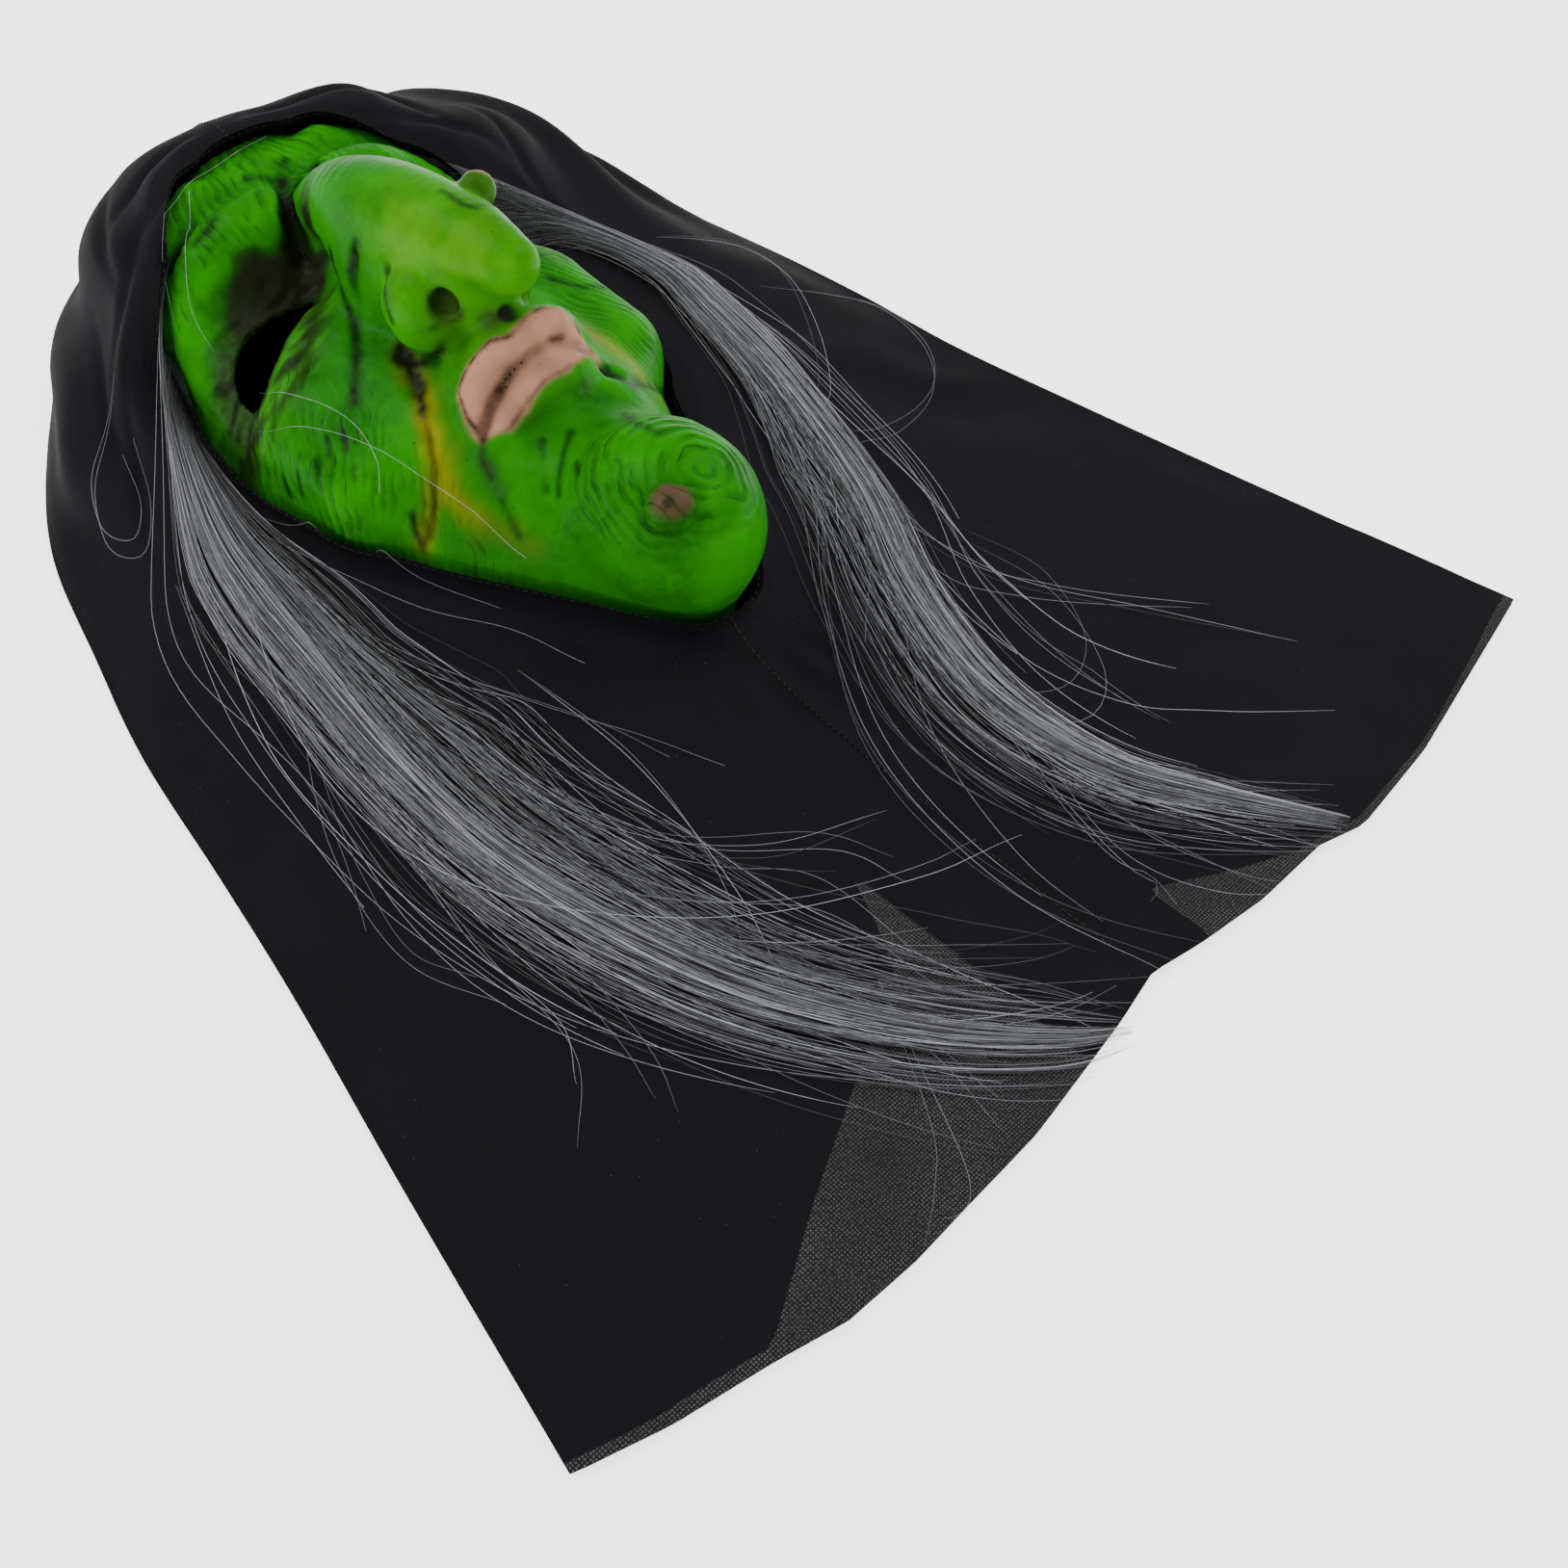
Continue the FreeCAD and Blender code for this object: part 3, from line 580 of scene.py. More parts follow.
on_nose = (1 - soft_step(17, 23, x_side)) * soft_step(80, 92, face_verts[:, 2]) * (1 - on_brow)
shares = np.stack([on_chin, on_cheek * (1 - on_chin), on_brow])
phases = np.stack([rings * 1.75, slant * 1.75, across_brow * 1.5])
strongest = shares.argmax(0)
fold_phase = np.take_along_axis(phases, strongest[None], 0)[0]
fold_share = np.clip(2 * shares.max(0) - shares.sum(0), 0, 1)
fold_share *= (0.25 + 0.75 * soft_step(0.25, 0.6, noise(face_verts, 8.0, 5))) * outside
wrinkle = fold_share * np.sin(fold_phase)
lumps = noise(face_verts, 6.0, 11) - 0.5 + 0.5 * (noise(face_verts, 2.4, 12) - 0.5)
push = np.where(outside, 0.22 * wrinkle + 0.34 * lumps * (1 - 0.6 * on_nose), 0.0)
face_verts = face_verts + slopes * push[:, None]

# the airbrushed paint; the last colour is a dark grey painted shade
GREEN, LIGHT_GREEN, YELLOW_GREEN, GREY_GREEN, GREY_BROWN, BROWN, UMBER, ORANGE, FLESH, PAINTED_SHADE = np.array([
    (0.012, 0.255, 0.0005), (0.022, 0.330, 0.0005), (0.085, 0.300, 0.001), (0.028, 0.075, 0.007),
    (0.022, 0.026, 0.012), (0.010, 0.009, 0.004), (0.004, 0.004, 0.0015), (0.36, 0.26, 0.004),
    (0.52, 0.25, 0.165), (0.035, 0.036, 0.024),
])


class Paint:
    """The colour of each vertex, laid on in washes."""

    def __init__(self, spots, ground):
        self.spots = spots
        self.value = np.tile(ground, (len(spots), 1))
        self.blotch = noise(spots, 6.0, 21)
        self.grain = noise(spots, 1.7, 22)

    def wash(self, colour, share):
        share = np.clip(share, 0, 1)[:, None]
        self.value = self.value * (1 - share) + colour * share

    def line(self, colour, line, width, strength=1.0, ragged=0.6):
        """Sprays along a line with an uneven edge."""
        away = near_line(self.spots, line) * (1 - ragged * (self.blotch - 0.5)) / width
        self.wash(colour, strength * np.exp(-(away**2)) * (0.75 + 0.5 * self.grain))

    def spot(self, colour, at, reach, strength=1.0, scale=(1, 1, 1)):
        away = np.linalg.norm((self.spots - at) * scale, axis=1) / reach
        away = away * (1 - 0.5 * (self.blotch - 0.5))
        self.wash(colour, strength * (1 - soft_step(0.6, 1.15, away)))


paint = Paint(face_verts, GREEN)
paint.wash(LIGHT_GREEN, 0.65 * soft_step(0.0, 0.5, -crease) * paint.blotch)
paint.wash(0.62 * GREEN, 0.55 * soft_step(0.40, 0.62, noise(face_verts, 24.0, 33)))
paint.wash(0.45 * GREEN, 0.7 * soft_step(0.45, 0.8, noise(face_verts, 14.0, 31)) * paint.grain)
on_tip = 1 - soft_step(20, 66, np.linalg.norm(face_verts - (2, 50, 114), axis=1))
paint.wash(YELLOW_GREEN, 0.45 * on_tip * (0.4 + 0.9 * paint.blotch))
paint.spot(YELLOW_GREEN, (-14, 69, 116), 15, 0.55)
paint.spot(YELLOW_GREEN, (-10, 45, 119), 12, 0.5)

# the fold from the wing of the nose past the corner of the mouth
SMILE_FOLD = [(-22, 74, 70), (-27, 59, 67), (-32, 51, 64), (-37, 41, 59), (-42, 33, 52), (-47, 30, 43),
              (-54, 29, 32)]
paint.line(ORANGE, [(-30, 52, 66), (-38, 36, 58), (-44, 25, 50), (-44, 8, 46), (-40, -8, 42)], 5.0, 0.45)
paint.line(ORANGE, SMILE_FOLD, 3.6, 0.5)
paint.line(ORANGE, [(34, 50, 64), (42, 34, 54), (46, 18, 48)], 6.0, 0.4)

# creases and hollows darken
paint.wash(UMBER, 0.9 * soft_step(0.25, 1.6, crease) * (0.7 + 0.5 * paint.grain))
paint.wash(UMBER, 0.55 * soft_step(0.9, 4.0, hollow_way))
paint.wash(UMBER, 0.92 * soft_step(0.3, 1.8, groove) * (0.75 + 0.4 * paint.grain))
paint.wash(UMBER, 0.45 * np.clip(-wrinkle, 0, 1) * soft_step(0.3, 0.7, paint.blotch))

DARK_LINES = [
    ([(2, 166, 84), (-12, 146, 85), (-15, 142, 71), (-17, 136, 63)], 3.2, 0.95),
    ([(-23, 170, 83), (-37, 162, 85), (-43, 163, 80)], 2.2, 0.8),
    ([(-10, 180, 84), (-4, 176, 83), (-2, 167, 83)], 2.0, 0.75),
    ([(7, 180, 84), (-2, 150, 95)], 2.0, 0.6),
    ([(2, 164, 85), (-16, 129, 95), (-10, 134, 72)], 2.4, 0.7),
    ([(-20, 112, 91), (-19, 112, 76), (-23, 102, 71)], 1.8, 0.85),
    ([(-19, 96, 102), (-20, 101, 88), (-24, 99, 70), (-33, 86, 67), (-45, 73, 62)], 2.3, 0.9),
    ([(-18, 81, 97), (-25, 72, 96), (-27, 68, 89)], 1.8, 0.85),
    ([(-21, 77, 70), (-22, 67, 69), (-20, 65, 70), (-19, 54, 81)], 2.4, 0.95),
    (SMILE_FOLD[:3], 2.8, 0.98),
    (SMILE_FOLD[2:], 1.5, 0.75),
    ([(-54, 34, 42), (-55, 32, 36), (-55, 29, 30)], 1.6, 0.8),
    ([(-59, 71, 56), (-62, 66, 53)], 1.3, 0.9),
    ([(-66, 70, 51), (-68, 66, 48)], 1.2, 0.8),
    ([(-70, 76, 44), (-72, 74, 37)], 1.2, 0.8),
    ([(-54, 68, 58), (-58, 62, 56)], 1.2, 0.8),
    ([(-72, 84, 38), (-73, 81, 32)], 1.2, 0.8),
    ([(28, 26, 62), (30, 15, 59), (59, 34, 30)], 2.4, 0.8),
    ([(47, 79, 63), (50, 74, 62), (56, 70, 59), (66, 70, 54)], 1.8, 0.8),
    ([(-14, 10, 64), (-24, -3, 57)], 1.6, 0.75),
    ([(-6, 5, 66), (-16, -2, 64), (-23, -8, 58)], 1.5, 0.75),
    ([(-15, -8, 67), (-17, -12, 66)], 1.3, 0.8),
    ([(14, 1, 66), (4, -16, 77), (3, -28, 81)], 2.0, 0.6),
    ([(1, 69, 125), (0, 58, 126), (2, 53, 125), (9, 55, 122)], 1.6, 0.75),
]
for dark_line, dark_width, dark_strength in DARK_LINES:
    paint.line(UMBER, dark_line, dark_width, dark_strength)


def on_side(side, spots):
    """Spots given for the left half of the face, on either side."""
    return [(side * x, y, z) for x, y, z in spots]


for side in (1, -1):
    paint.spot(GREY_GREEN, (side * 16, 52, 96), 7.0, 0.9)
    paint.line(UMBER, on_side(side, [(13, 59, 97), (17, 59, 93), (20, 55, 90)]), 1.7, 0.95, 0.3)
    paint.line(UMBER, on_side(side, [(12, 50, 97), (16, 47, 92)]), 1.3, 0.6)

# eye sockets, the eye holes' rims and the streaked lower lids. The streaks run along each lid.
LID_LINE = [(24, 121, 66), (34, 112, 67), (47, 103, 64), (59, 96, 56), (68, 97, 48)]
UNDER_LID = [(22, 110, 66), (40, 95, 60), (58, 88, 53), (71, 100, 45)]
BACK_OF_EYE = 24
for side in (1, -1):
    paint.spot(UMBER, (side * 22, 141, 66), 16, 0.97)
    paint.spot(BROWN, (side * 35, 140, 62), 20, 0.93, (1, 1.1, 1))
    from_eye = eye_distance(face_verts[:, 0], face_verts[:, 1], side)
    above = face_verts[:, 2] > BACK_OF_EYE
    along_lid = np.array([[0.25, side * 0.9, 0.0], [side * 0.14, -0.5, 0.0], [0.0, 0.0, 0.5]]).T
    streaks = noise(face_verts @ along_lid, 2.6, 41)
    on_lid = np.exp(-((near_line(face_verts, on_side(side, LID_LINE)) / 8.0) ** 2)) * above
    paint.wash(GREY_GREEN, 0.85 * on_lid)
    paint.wash(UMBER, 0.65 * on_lid * soft_step(0.50, 0.70, streaks))
    paint.wash(LIGHT_GREEN, 0.75 * on_lid * (1 - soft_step(0.26, 0.44, streaks)))
    rim = (1 - soft_step(1.5, 7.0, from_eye)) * above
    paint.wash(GREY_BROWN, 0.85 * rim * (0.7 + 0.5 * paint.grain))
    paint.wash(UMBER, 0.8 * rim * soft_step(0.45, 0.75, streaks))
    paint.line(UMBER, on_side(side, UNDER_LID), 2.2, 0.65)

# lips with a thin dark outline and a dark parting
LIP_TOP = [(-28, 24, 64), (-28.5, 31, 71), (-26, 37, 76), (-21, 38, 83), (-11, 36.5, 89), (-7, 33, 90),
           (-2, 33.5, 90), (2, 35, 91), (10, 36.5, 91), (17, 35, 87), (21, 32, 80), (26, 28, 70)]
LIP_LOW = [(26, 28, 70), (7, 20.5, 77), (-3, 20.5, 77), (-13, 18.5, 74), (-20, 19, 68), (-28, 24, 64)]
lip_outline = LIP_TOP + LIP_LOW
at_lip_height = (face_verts[:, 2] > 56) & (face_verts[:, 2] < 98)
on_lips = in_outline(face_verts[:, :2], [spot[:2] for spot in lip_outline])
lips_on_plane = np.array(lip_outline) * (1, 1, 0)
from_lips = np.where(on_lips, 0.0, near_line(face_verts * (1, 1, 0), lips_on_plane))
flesh_share = np.exp(-((from_lips / 0.9) ** 2)) * at_lip_height
paint.wash(FLESH, 0.96 * flesh_share)
paint.wash(0.75 * FLESH, 0.45 * flesh_share * soft_step(0.45, 0.8, paint.blotch))
for line_around_mouth in (
    (UMBER, LIP_TOP, 0.9, 0.85, 0.5), (UMBER, LIP_LOW, 0.9, 0.55, 0.5), (UMBER, LIP_PART, 1.4, 0.95, 0.3),
    (UMBER, LIP_PART[:3], 2.2, 0.9), (UMBER, [(8, 28, 84), (12, 30, 82)], 1.8, 0.75),
    (UMBER, [(-28, 24, 64), (-31, 22, 60), (-33, 15, 57)], 1.6, 0.8),
    # painted shade: a dark grey wash beside the mouth's corner and under the nose
    (UMBER, [(-34.5, 8, 52), (-36, -1, 43)], 1.8, 0.7), (PAINTED_SHADE, [(-31, 24, 60), (-34, 10, 54)], 3.4, 0.45),
    (PAINTED_SHADE, [(-6, 43, 92), (0, 41, 90), (4, 45, 90)], 4.2, 0.7),
):
    paint.line(*line_around_mouth)

for wart in (
    (GREY_GREEN, (17, 73, 117), 8.2, 0.6), (0.7 * FLESH, (21, 75, 121), 4.4, 0.55),
    (UMBER, (-12, -51, 75), 11.0, 0.45), (0.22 * FLESH, (-13, -52, 78), 8.0, 0.85),
    (BROWN, (-16, -54, 79), 2.4, 0.6),
):
    paint.spot(*wart)
paint.wash(0.5 * GREEN, 0.5 * (~outside))

gloss = 0.36 + 0.10 * (paint.blotch - 0.5) + 0.10 * soft_step(0.2, 1.2, crease)
face = make_mesh("latex_face_skin", face_verts, face_quads, LATEX_LOOK)
store(face, "paint", np.clip(paint.value, 0, 1))
store(face, "fold_phase", fold_phase)
# the lips are almost without folds
store(face, "fold_share", fold_share * (1 - 0.8 * flesh_share))
store(face, "gloss", np.clip(gloss, 0.18, 0.6))
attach(face, "head")
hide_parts("latex_face")

# --- the cloth: hood and cape ---


def face_distance(spots):
    """How far each spot is from the face's outer surface, and the way straight out of it."""
    distance = sampled(face_field, face_solid, spots)
    known = np.all((spots > FACE_LOW + 1) & (spots < FACE_HIGH - 1), axis=1)
    return np.where(known, distance, 99.0), way_out(spots)


def clear_of_face(spots, gap):
    """Moves spots that are inside the face, or nearer to it than the gap, straight out."""
    for _ in range(4):
        distance, way = face_distance(spots)
        lack = np.clip(gap - distance, 0, 12)
        lack[spots[:, 1] > FACE_TOP + 3] = 0
        spots = spots + way * lack[:, None]
    return spots


CLOTH_GAP = 1.6

# From the crown to the centre of the hem, each row holds four points that steer the cloth from the
# rim of the face to the outer edge, as (x, y, z). The two sides of the mask lie a little differently.
CROWN_ROW = ((0, 200, 88), (3, 226, 94), (2, 262, 66), (0, 257, 1.5))
HEM_ROW = ((0, -61, 30), (0, -73, 5), (0, -118, 3.4), (0, -246, 3.2))
NEAR_ROWS = [
    CROWN_ROW,
    ((-20, 199, 87), (-25, 224, 94), (-38, 256, 62), (-44, 253, 1.5)),
    ((-40, 184, 82), (-52, 208, 84), (-72, 234, 44), (-80, 234, 1.5)),
    ((-56, 164, 71), (-72, 180, 64), (-94, 202, 27), (-106, 203, 1.5)),
    ((-68, 148, 42), (-84, 155, 38), (-112, 162, 13), (-136, 150, 1.5)),
    ((-76, 114, 27), (-92, 117, 23), (-124, 110, 8), (-154, 90, 1.5)),
    ((-76, 84, 25), (-94, 79, 18), (-134, 64, 6), (-167, 40, 1.5)),
    ((-69, 48, 26), (-88, 36, 13), (-136, 12, 5), (-177, -20, 1.5)),
    ((-54, 20, 25), (-72, 4, 10), (-132, -36, 4), (-187, -75, 1.5)),
    ((-40, -8, 26), (-54, -28, 10), (-108, -84, 4), (-202, -146, 1.8)),
    ((-27, -33, 27), (-37, -52, 8), (-84, -130, 3.4), (-220, -236, 2.4)),
    ((-15, -53, 30), (-22, -70, 6), (-48, -138, 3.2), (-112, -257, 2.6)),
    HEM_ROW,
]
FAR_ROWS = [
    CROWN_ROW,
    ((22, 198, 85), (31, 216, 91), (54, 259, 68), (50, 257, 1.5)),
    ((43, 181, 79), (67, 197, 90), (108, 243, 58), (102, 242, 1.5)),
    ((58, 160, 67), (92, 176, 81), (146, 218, 46), (146, 210, 1.5)),
    ((68, 146, 41), (94, 156, 54), (154, 180, 32), (169, 162, 1.5)),
    ((76, 112, 28), (98, 115, 33), (146, 116, 20), (179, 105, 1.5)),
    ((75, 84, 26), (98, 80, 25), (144, 72, 12), (184, 52, 1.5)),
    ((68, 48, 27), (88, 38, 18), (138, 16, 8), (186, 0, 1.5)),
    ((54, 20, 26), (72, 4, 13), (128, -32, 5), (193, -58, 1.5)),
    ((40, -8, 26), (54, -28, 11), (104, -82, 4), (204, -140, 1.8)),
    ((27, -33, 27), (37, -52, 9), (80, -128, 3.4), (218, -236, 2.4)),
    ((15, -53, 30), (22, -70, 6), (46, -138, 3.2), (112, -256, 2.6)),
    HEM_ROW,
]
CORNER_ROW = 10
RIM_ROLL = [(0.0, -4.0), (0.8, -1.0), (2.0, 1.2), (4.0, 2.0), (7.0, 1.4), (12.0, 0.2), (16.0, 0.0)]
CLOTH_COLUMNS = 265
CLOTH_ROWS = 130


# the raw lower edge of the front leaf as (x, y): cut by hand, so not quite even
HEM = [(-221, -236), (-193, -245), (-165, -251), (-142, -257), (-117, -258), (-94, -257), (-65, -256),
       (-38, -252), (-18, -249), (1, -245), (22, -249), (47, -252), (77, -252), (94, -257), (135, -253),
       (219, -236)]
HEM_TOP = -236.5
HEIGHT_OFF_BACK = 1.7


def hem_outline(x):
    return np.interp(x, *zip(*HEM))


def cloth_grid(rows):
    """A smooth sheet's vertices in rows from the face's rim to the outer edge, (rows, columns, 3)."""
    rows = np.array(rows, float)
    columns = [smooth_path(rows[:, k], CLOTH_COLUMNS) for k in range(4)]
    per_row = (CLOTH_COLUMNS - 1) // (len(rows) - 1)
    side_edge = smooth_path(rows[:CORNER_ROW + 1, 3], CORNER_ROW * per_row + 1)
    hem_edge = smooth_path(rows[CORNER_ROW:, 3], CLOTH_COLUMNS - len(side_edge) + 1)
    columns[3] = np.vstack([side_edge, hem_edge[1:]])
    rim = columns[0]
    for _ in range(5):
        distance, way = face_distance(rim)
        rim = rim + way * np.clip(CLOTH_GAP - distance, -6, 6)[:, None] * (rim[:, 1:2] < FACE_TOP)
        rim[3:-3] = sum(rim[3 + k:len(rim) - 3 + k] for k in range(-3, 4)) / 7
    columns[0] = rim
    outer = columns[3]
    on_hem = outer[:, 1] < HEM_TOP
    outer[on_hem, 1] = hem_outline(outer[on_hem, 0])
    t = (np.linspace(0, 1, CLOTH_ROWS) ** 1.35)[:, None, None]
    a, b, c, d = columns
    return (1 - t) ** 3 * a + 3 * (1 - t) ** 2 * t * b + 3 * (1 - t) * t**2 * c + t**3 * d


# single folds over the crown: place along the leaf, distance from the rim, drift and height in mm
CROWN_FOLDS = [
    (0.10, 22, 10, 2.6), (0.17, 34, -16, 2.2), (0.23, 20, 14, 2.4), (0.30, 38, -12, 1.8), (0.36, 30, 18, 1.6),
]


def fold_heights(grid, along, side):
    """Soft folds, in mm, straight out of the cloth, over its crown, shoulders, jaw line and chin."""
    share = np.linspace(0, 1, CLOTH_COLUMNS)[None, :]
    from_edge = along[-1:] - along

    def uneven(size, seed):
        return noise(grid.reshape(-1, 3), size, seed).reshape(along.shape) - 0.5

    wander = uneven(60.0, 51 + side)
    inside = soft_step(6, 26, along) * soft_step(4, 22, from_edge)
    crown = soft_step(0.02, 0.14, share) * (1 - soft_step(0.30, 0.46, share)) * inside
    height = crown * 2.6 * np.sin(along / 7.5 + 9 * wander + 6.0 * share)
    for at, start, reach, rise in CROWN_FOLDS:
        bend = start + reach * (share - at) / 0.1
        fold = np.exp(-(((along - bend) / 3.4) ** 2)) * np.exp(-(((share - at) / 0.055) ** 2))
        height += rise * fold * soft_step(4, 14, from_edge)
    shoulder = soft_step(0.30, 0.42, share) * (1 - soft_step(0.66, 0.8, share)) * inside
    height += shoulder * 1.3 * np.sin(along / 15.0 + 11 * wander)
    jaw = soft_step(0.62, 0.74, share) * (1 - soft_step(0.96, 1.0, share))
    height += jaw * 2.2 * np.exp(-(((along - 21) / 7) ** 2)) * (0.5 + wander * 1.6)
    chin = soft_step(0.90, 0.97, share) * soft_step(12, 40, along) * (1 - soft_step(120, 185, along))
    height += chin * 1.1 * np.sin(share * 175 + 5 * wander)
    height += 1.5 * inside * uneven(38.0, 61)
    height += 0.45 * soft_step(0, 8, along) * uneven(13.0, 62)
    return height


def front_cloth(rows, side):
    """The front leaf with its rolled rim and folds, clear of the face and of the back leaf."""
    grid = cloth_grid(rows)
    steps = np.linalg.norm(np.diff(grid, axis=0), axis=2)
    along = np.concatenate([np.zeros((1, CLOTH_COLUMNS)), np.cumsum(steps, 0)])
    normal = np.cross(np.gradient(grid, axis=0), np.gradient(grid, axis=1)) * side
    normal /= np.maximum(np.linalg.norm(normal, axis=2, keepdims=True), 1e-9)
    # the roll is lower under the chin, at the last columns
    roll = np.interp(along, *zip(*RIM_ROLL))
    roll *= np.where(np.linspace(0, 1, CLOTH_COLUMNS) > 0.97, 0.65, 1.15)
    grid = grid + normal * (fold_heights(grid, along, side) + roll)[:, :, None]
    grid[:, 0, 0] = grid[:, -1, 0] = 0.0
    verts = clear_of_face(grid.reshape(-1, 3), CLOTH_GAP)
    verts[:, 2] = np.maximum(verts[:, 2], HEIGHT_OFF_BACK)
    grid = verts.reshape(grid.shape)
    grid[:, 0, 0] = grid[:, -1, 0] = 0.0
    return grid


# where only one layer of the cape lies over the ground: beside the folded strip, and along the hem
WINDOWS = [
    [(-36, -155), (-45, -175), (-56, -194), (-82, -205), (-125, -227), (-165, -250), (-165, -262),
     (-36, -262)],
    [(24.5, -224), (50, -239), (78, -252), (78, -262), (24.5, -262)],
]


def single_layer(spots):
    """0.5 at the edge of a window, rising over a few millimetres inside it and falling outside."""
    flat = spots * (1, 1, 0)
    value = np.full(len(spots), -9.0)
    for outline in WINDOWS:
        closed = [(x, y, 0) for x, y in outline + outline[:1]]
        signed = near_line(flat, closed) * np.where(in_outline(spots[:, :2], outline), 1, -1)
        value = np.maximum(value, signed)
    fringe = hem_outline(spots[:, 0]) + 1.5 + 3.0 * noise(spots * (1, 0, 0), 30.0, 71) - spots[:, 1]
    fringe = np.where(np.abs(spots[:, 0] + 6) > 28, fringe, -9.0)
    return np.clip(0.5 + np.maximum(value, fringe) / 16, 0, 1)


SIDES = (("right", NEAR_ROWS, -1), ("left", FAR_ROWS, 1))


def knit_panel(leaf, name, grid, side, attributes):
    """One panel of the hood and cape, with its faces turned outward."""
    verts, faces = grid.reshape(-1, 3), grid_faces(*grid.shape[:2])
    if side > 0:
        faces = faces[:, ::-1]
    panel = make_mesh("hood_and_cape_%s_%s" % (leaf, name), verts, faces, KNIT_LOOK)
    for attribute, values in attributes.items():
        store(panel, attribute, values)
    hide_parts("hood_%s_%s" % (leaf, name), "cape_%s_%s" % (leaf, name))
    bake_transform(panel)
    return faces


front_grids, front_faces = {}, {}
for name, rows, side in SIDES:
    grid = front_grids[name] = front_cloth(rows, side)
    verts = grid.reshape(-1, 3)
    attributes = {"single": single_layer(verts), "laid_flat": verts * (MM, MM, 0)}
    front_faces[name] = knit_panel("front", name, grid, side, attributes)


# the lower edge of the back leaf on each side, from the middle outward, as (x, y)
ARCHES = {
    -1: [(0, -155), (36, -157), (45, -175), (56, -194), (82, -205), (125, -227), (165, -247), (219, -233)],
    1: [(0, -155), (24.5, -222), (24.6, -224), (50, -239), (78, -248), (165, -246), (219, -233)],
}
BACK_COLUMNS, BACK_ROWS = 90, 130
GAP_TO_FRONT = 1.6


def back_cloth(rows, side):
    """The back leaf, flat on the ground inside the front's outer edge, down to the open arch."""
    rows = np.array(rows, float)
    outer = smooth_path(rows[:CORNER_ROW + 1, 3], 400)
    widest = side * rows[CORNER_ROW, 3, 0] - 2.0
    xs = np.linspace(0, 1, BACK_COLUMNS) ** 0.9 * widest
    reach = np.maximum.accumulate(side * outer[:, 0] - GAP_TO_FRONT)
    top = np.interp(xs, reach, outer[:, 1] - 1.0)
    arch = np.interp(xs, *zip(*ARCHES[side]))
    t = np.linspace(0, 1, BACK_ROWS)[:, None]
    ys = top * (1 - t) + arch * t
    grid = np.stack([np.broadcast_to(side * xs, ys.shape), ys, np.zeros(ys.shape)], 2)
    grid[:, :, 2] = 0.45 + 0.5 * noise(grid.reshape(-1, 3), 30.0, 81).reshape(ys.shape)
    return grid


for name, rows, side in SIDES:
    attributes = {"single": np.zeros(BACK_ROWS * BACK_COLUMNS)}
    knit_panel("back", name, back_cloth(rows, side), side, attributes)

# the strip folded double behind the centre-front seam
turns = np.linspace(-0.5, 0.5, 9) * math.pi
strip_section = [(24.0 - 6.5 * k, 1.25) for k in range(9)]
strip_section += [(-35.6 - 0.35 * math.cos(turn), 1.6 + 0.35 * math.sin(turn)) for turn in turns]
strip_section += [(-35.0 + 6.5 * k, 1.95) for k in range(10)]
strip_verts = np.array([(x, y, z) for y in np.linspace(-101, -244.5, 90) for x, z in strip_section])
sideways = 1.2 * (noise(strip_verts * (0, 1, 0), 26.0, 91) - 0.5)
upward = 0.25 * (noise(strip_verts, 16.0, 92) - 0.5)
strip_verts[:, 0] += sideways
strip_verts[:, 2] += upward
strip = make_mesh("folded_strip", strip_verts, grid_faces(90, len(strip_section)), STRIP_LOOK)
store(strip, "single", np.zeros(len(strip_verts)))
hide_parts("front_seam_strip")
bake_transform(strip)


# --- stitches and wefts ---


def tubes(lines, radii, sides):
    """Thin tubes along lines: (count, points, 3) with (count, points) radii."""
    count, points = lines.shape[:2]
    heading = np.gradient(lines, axis=1)
    heading /= np.maximum(np.linalg.norm(heading, axis=2, keepdims=True), 1e-9)
    aside = np.cross(heading, (0.13, 0.21, 1.0))
    aside /= np.maximum(np.linalg.norm(aside, axis=2, keepdims=True), 1e-9)
    upward = np.cross(aside, heading)
    turns = 2 * math.pi * np.arange(sides) / sides
    ring = np.cos(turns)[:, None] * aside[:, :, None] + np.sin(turns)[:, None] * upward[:, :, None]
    verts = lines[:, :, None] + radii[:, :, None, None] * ring
    faces = grid_faces(points, sides, closed=True)
    shift = np.arange(count)[:, None, None] * points * sides
    return verts.reshape(-1, 3), (faces[None] + shift).reshape(-1, 4)


def stitch_row(name, path, pitch, share, lift, node, bends=False):
    """A row of short thread stitches that dip into the cloth at both ends.

    The pitch and the lift are in mm, and the share is how much of the pitch each stitch covers.
    """
    path = np.asarray(path, float)
    along = lengths_along(path)
    count = max(int(along[-1] / pitch), 2)
    t = np.linspace(0, 1, 9)
    where = (np.arange(count)[:, None] + 0.1 + share * t[None]) * pitch
    lines = np.stack([np.interp(where, along, path[:, k]) for k in range(3)], 2)
    lines[:, :, 2] += lift * np.sin(math.pi * t)[None] - 0.25
    lines += 0.12 * (RANDOM.random((count, 1, 3)) - 0.5)
    radii = np.full(lines.shape[:2], 0.24) * (0.55 + 0.45 * np.sin(math.pi * t) ** 0.5)[None]
    verts, faces = tubes(lines, radii, 6)
    row = make_mesh(name, verts, faces, THREAD_LOOK)
    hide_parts(node)
    if bends:
        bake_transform(row)
    else:
        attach(row, "head")


